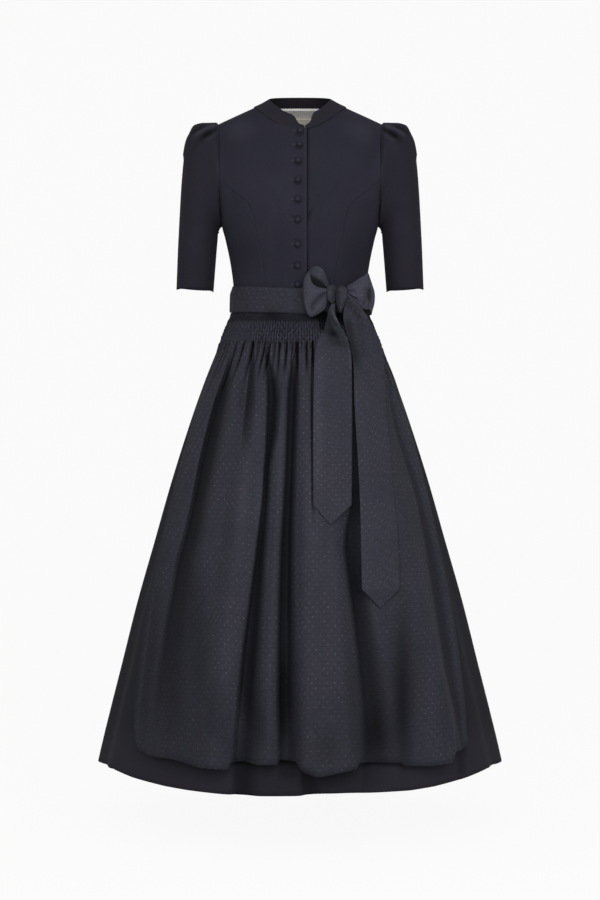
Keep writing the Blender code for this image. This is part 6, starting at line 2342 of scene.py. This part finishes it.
# Strokes of shade and of light on the ends: the places along each, how deep in shade and how wide
TAIL_SHADES = (
    Crease(((0.0570, -0.3960), (0.0610, -0.4120), (0.0670, -0.4270)), 0.62, 0.0090),
    Crease(((0.0540, -0.4140), (0.0640, -0.4300), (0.0740, -0.4420)), 0.34, 0.0120),
    Crease(((0.0500, -0.4260), (0.0620, -0.4320), (0.0760, -0.4350)), 0.50, 0.0070),
    Crease(((0.0600, -0.4470), (0.0760, -0.4500), (0.0900, -0.4540)), 0.40, 0.0080),
    Crease(((0.1180, -0.4160), (0.1230, -0.4400), (0.1270, -0.4700)), 0.30, 0.0090),
    Crease(((0.0500, -0.3960), (0.0465, -0.4110), (0.0430, -0.4240)), 1.20, 0.0046),
    Crease(
        ((0.0620, -0.3780), (0.0678, -0.3985), (0.0828, -0.4148), (0.0935, -0.4335), (0.0994, -0.4560), (0.1025, -0.5060)),
        -0.95,
        0.0034,
    ),
    Crease(((0.0420, -0.4700), (0.0360, -0.5600), (0.0340, -0.7400)), -0.34, 0.0100),
    Crease(
        ((0.0925, -0.3900), (0.0975, -0.4210), (0.1035, -0.4460), (0.1100, -0.4760), (0.1110, -0.5080)),
        0.85,
        0.0100,
    ),
    Crease(((0.0960, -0.3720), (0.1080, -0.3840), (0.1180, -0.3980)), 0.60, 0.0080),
    Crease(((0.0850, -0.5200), (0.0860, -0.7600)), 0.10, 0.0140),
)
TAIL_ROWS = 168
TAIL_TIP_ROWS = 12
TAIL_COLUMNS = 32
# How deep the ends lie in front of the wearer's middle where they are first looked for, and at what slope
TAIL_DEPTH = 0.125
TAIL_DEPTH_LEVEL = 0.45
TAIL_SLOPE = 0.12


def tail_side(edges, column, z):
    """The edge of a hanging end at a height of the front view: smooth down to its corners, straight to its tip."""
    corner, tip = edges[-2:]
    if z < corner.z:
        t = (z - corner.z) / (tip.z - corner.z)
        return getattr(corner, column) * (1 - t) + getattr(tip, column) * t
    return read(edges[:-1], column, z)


def tail_rows(edges, lifts):
    """A hanging end of the tie: it leaves the knot, lies over the apron and ends in a point."""
    top, corner, tip = edges[0].z, edges[-2].z, edges[-1].z
    last = TAIL_ROWS - TAIL_TIP_ROWS
    heights = [top + (corner - top) * k / last for k in range(last)]
    heights += [corner + (tip - corner) * share for share in even_shares(TAIL_TIP_ROWS)]
    rows = []
    for seen_z in heights:
        left, right = tail_side(edges, "left", seen_z), tail_side(edges, "right", seen_z)
        shrink = (SIGHT - TAIL_DEPTH + TAIL_SLOPE * (seen_z + TAIL_DEPTH_LEVEL)) / SIGHT
        z = SIGHT_Z + (seen_z - SIGHT_Z) * shrink
        out = apron_reach(z, left * shrink, right * shrink) + between(lifts, z) + TIE_CLOTH
        from_knot = ease((z - TAIL_MEET) / (TAIL_START - TAIL_MEET))
        row = []
        for share in even_shares(TAIL_COLUMNS):
            x = left + (right - left) * share
            on_apron = skirt_form(skirt_angle(x * shrink, z, out), z, out).y
            row.append(real_place(x, seen_z, on_apron + (TAIL_TOP_Y - on_apron) * from_knot))
        rows.append(row)
    return rows


class DIRNDL_OT_tails(bpy.types.Operator):
    """Makes the two hanging ends of the tie"""

    bl_idname = "dirndl.tails"
    bl_label = "Hanging ends"

    def execute(self, context):
        thick = context.scene.dirndl_sizes.apron_thickness
        for node, edges, lifts in (
            ("tie_tail_short", EDGES_SHORT, LIFT_SHORT),
            ("tie_tail_long", EDGES_LONG, LIFT_LONG),
        ):
            rows = tail_rows(edges, lifts)
            places = cloth_places(rows)
            rows = dipped(rows, ("left", "right"))
            amounts = [[crease_height(TAIL_CREASES, *front_view(p)) for p in row] for row in rows]
            folds = [[min(shade_along(TAIL_SHADES, p), DEEPEST) for p in row] for row in rows]
            sheet_of(
                node, raised(rows, amounts), "tie",
                thickness=thick, places=places, folds=folds,
            )
        return {"FINISHED"}


# Stage


FLOOR_HALF = 3.2
FLOOR_FRONT = -6.0
FLOOR_BACK = 5.2
BACKDROP_BEND = 0.9
BEND_STEPS = 12
BACKDROP_TOP = 3.2


class DIRNDL_OT_stage(bpy.types.Operator):
    """Makes the pale floor with its backdrop, the lights and the camera"""

    bl_idname = "dirndl.stage"
    bl_label = "Stage"

    def execute(self, context):
        stage = context.scene.dirndl_stage
        floor = stage.floor_height
        profile = [Vector((0, FLOOR_FRONT, floor)), Vector((0, FLOOR_BACK, floor))]
        for share in even_shares(BEND_STEPS)[1:]:
            turn = math.radians(90 * share)
            rise = BACKDROP_BEND * (1 - math.cos(turn))
            profile.append(Vector((0, FLOOR_BACK + BACKDROP_BEND * math.sin(turn), floor + rise)))
        profile.append(Vector((0, FLOOR_BACK + BACKDROP_BEND, BACKDROP_TOP)))
        bm = bmesh.new()
        bmesh.ops.create_grid(bm, x_segments=1, y_segments=len(profile) - 1, size=1.0)
        for vert in bm.verts:
            point = profile[round((vert.co.y + 1) / 2 * (len(profile) - 1))]
            vert.co = Vector((vert.co.x * FLOOR_HALF, point.y, point.z))
        mesh = bpy.data.meshes.new("backdrop")
        bm.to_mesh(mesh)
        bm.free()
        mesh.shade_smooth()
        material = bpy.data.materials.new("Backdrop")
        material.use_nodes = True
        shader = material.node_tree.nodes["Principled BSDF"]
        shader.inputs["Base Color"].default_value = (0.06, 0.06, 0.06, 1)
        shader.inputs["Roughness"].default_value = 0.9
        shader.inputs["Specular IOR Level"].default_value = 0.0
        shader.inputs["Emission Color"].default_value = (1, 1, 1, 1)
        shader.inputs["Emission Strength"].default_value = stage.backdrop_glow
        mesh.materials.append(material)
        obj = bpy.data.objects.new("backdrop", mesh)
        context.scene.collection.objects.link(obj)
        obj.visible_diffuse = False
        obj.visible_glossy = False
        obj.visible_shadow = False
        soft_light("key", Vector((-0.5, -2.6, 0.05)), Vector((0, 0, -0.60)), 2.0, stage.key_power)
        soft_light("fill", Vector((1.0, -2.6, 0.05)), Vector((0, 0, -0.60)), 2.0, stage.fill_power)
        world = bpy.data.worlds.new("studio")
        context.scene.world = world
        world.use_nodes = True
        world.node_tree.nodes["Background"].inputs["Color"].default_value = (1, 1, 1, 1)
        world.node_tree.nodes["Background"].inputs["Strength"].default_value = stage.daylight
        camera = bpy.data.cameras.new("camera")
        camera.lens = stage.focal_length
        camera.sensor_width = 36.0
        camera.clip_end = 50.0
        obj = bpy.data.objects.new("camera", camera)
        obj.location = (0, -stage.camera_distance, stage.camera_height)
        obj.rotation_euler = (math.radians(90), 0, 0)
        context.scene.collection.objects.link(obj)
        context.scene.camera = obj
        context.scene.view_settings.view_transform = "Standard"
        return {"FINISHED"}


def soft_light(name, place, target, size, power):
    """A square light that looks at a target."""
    light = bpy.data.lights.new(name, "AREA")
    light.shape = "SQUARE"
    light.size = size
    light.energy = power
    obj = bpy.data.objects.new(name, light)
    obj.location = place
    obj.rotation_euler = (target - place).to_track_quat("-Z", "Y").to_euler()
    bpy.context.scene.collection.objects.link(obj)


# Panel


class DIRNDL_PT_maker(bpy.types.Panel):
    """Lists the sizes, the colours and the pieces of the dirndl"""

    bl_idname = "DIRNDL_PT_maker"
    bl_label = "Dirndl"
    bl_space_type = "VIEW_3D"
    bl_region_type = "UI"
    bl_category = "Dirndl"

    def draw(self, context):
        layout = self.layout
        for group in (context.scene.dirndl_sizes, context.scene.dirndl_colors, context.scene.dirndl_stage):
            box = layout.box()
            for name in group.__annotations__:
                box.prop(group, name)
        for operator in OPERATORS:
            layout.operator(operator.bl_idname)


OPERATORS = (
    DIRNDL_OT_stage,
    DIRNDL_OT_bodice,
    DIRNDL_OT_lining,
    DIRNDL_OT_collar,
    DIRNDL_OT_buttons,
    DIRNDL_OT_sleeves,
    DIRNDL_OT_skirt,
    DIRNDL_OT_apron,
    DIRNDL_OT_band,
    DIRNDL_OT_bow,
    DIRNDL_OT_tails,
)
CLASSES = (DirndlSizes, DirndlColors, DirndlStage, *OPERATORS, DIRNDL_PT_maker)


def register():
    for cls in CLASSES:
        bpy.utils.register_class(cls)
    bpy.types.Scene.dirndl_sizes = PointerProperty(type=DirndlSizes)
    bpy.types.Scene.dirndl_colors = PointerProperty(type=DirndlColors)
    bpy.types.Scene.dirndl_stage = PointerProperty(type=DirndlStage)


def unregister():
    del bpy.types.Scene.dirndl_stage
    del bpy.types.Scene.dirndl_colors
    del bpy.types.Scene.dirndl_sizes
    for cls in reversed(CLASSES):
        bpy.utils.unregister_class(cls)


def main():
    register()
    for operator in OPERATORS:
        group, name = operator.bl_idname.split(".")
        getattr(getattr(bpy.ops, group), name)()


if __name__ == "__main__":
    main()
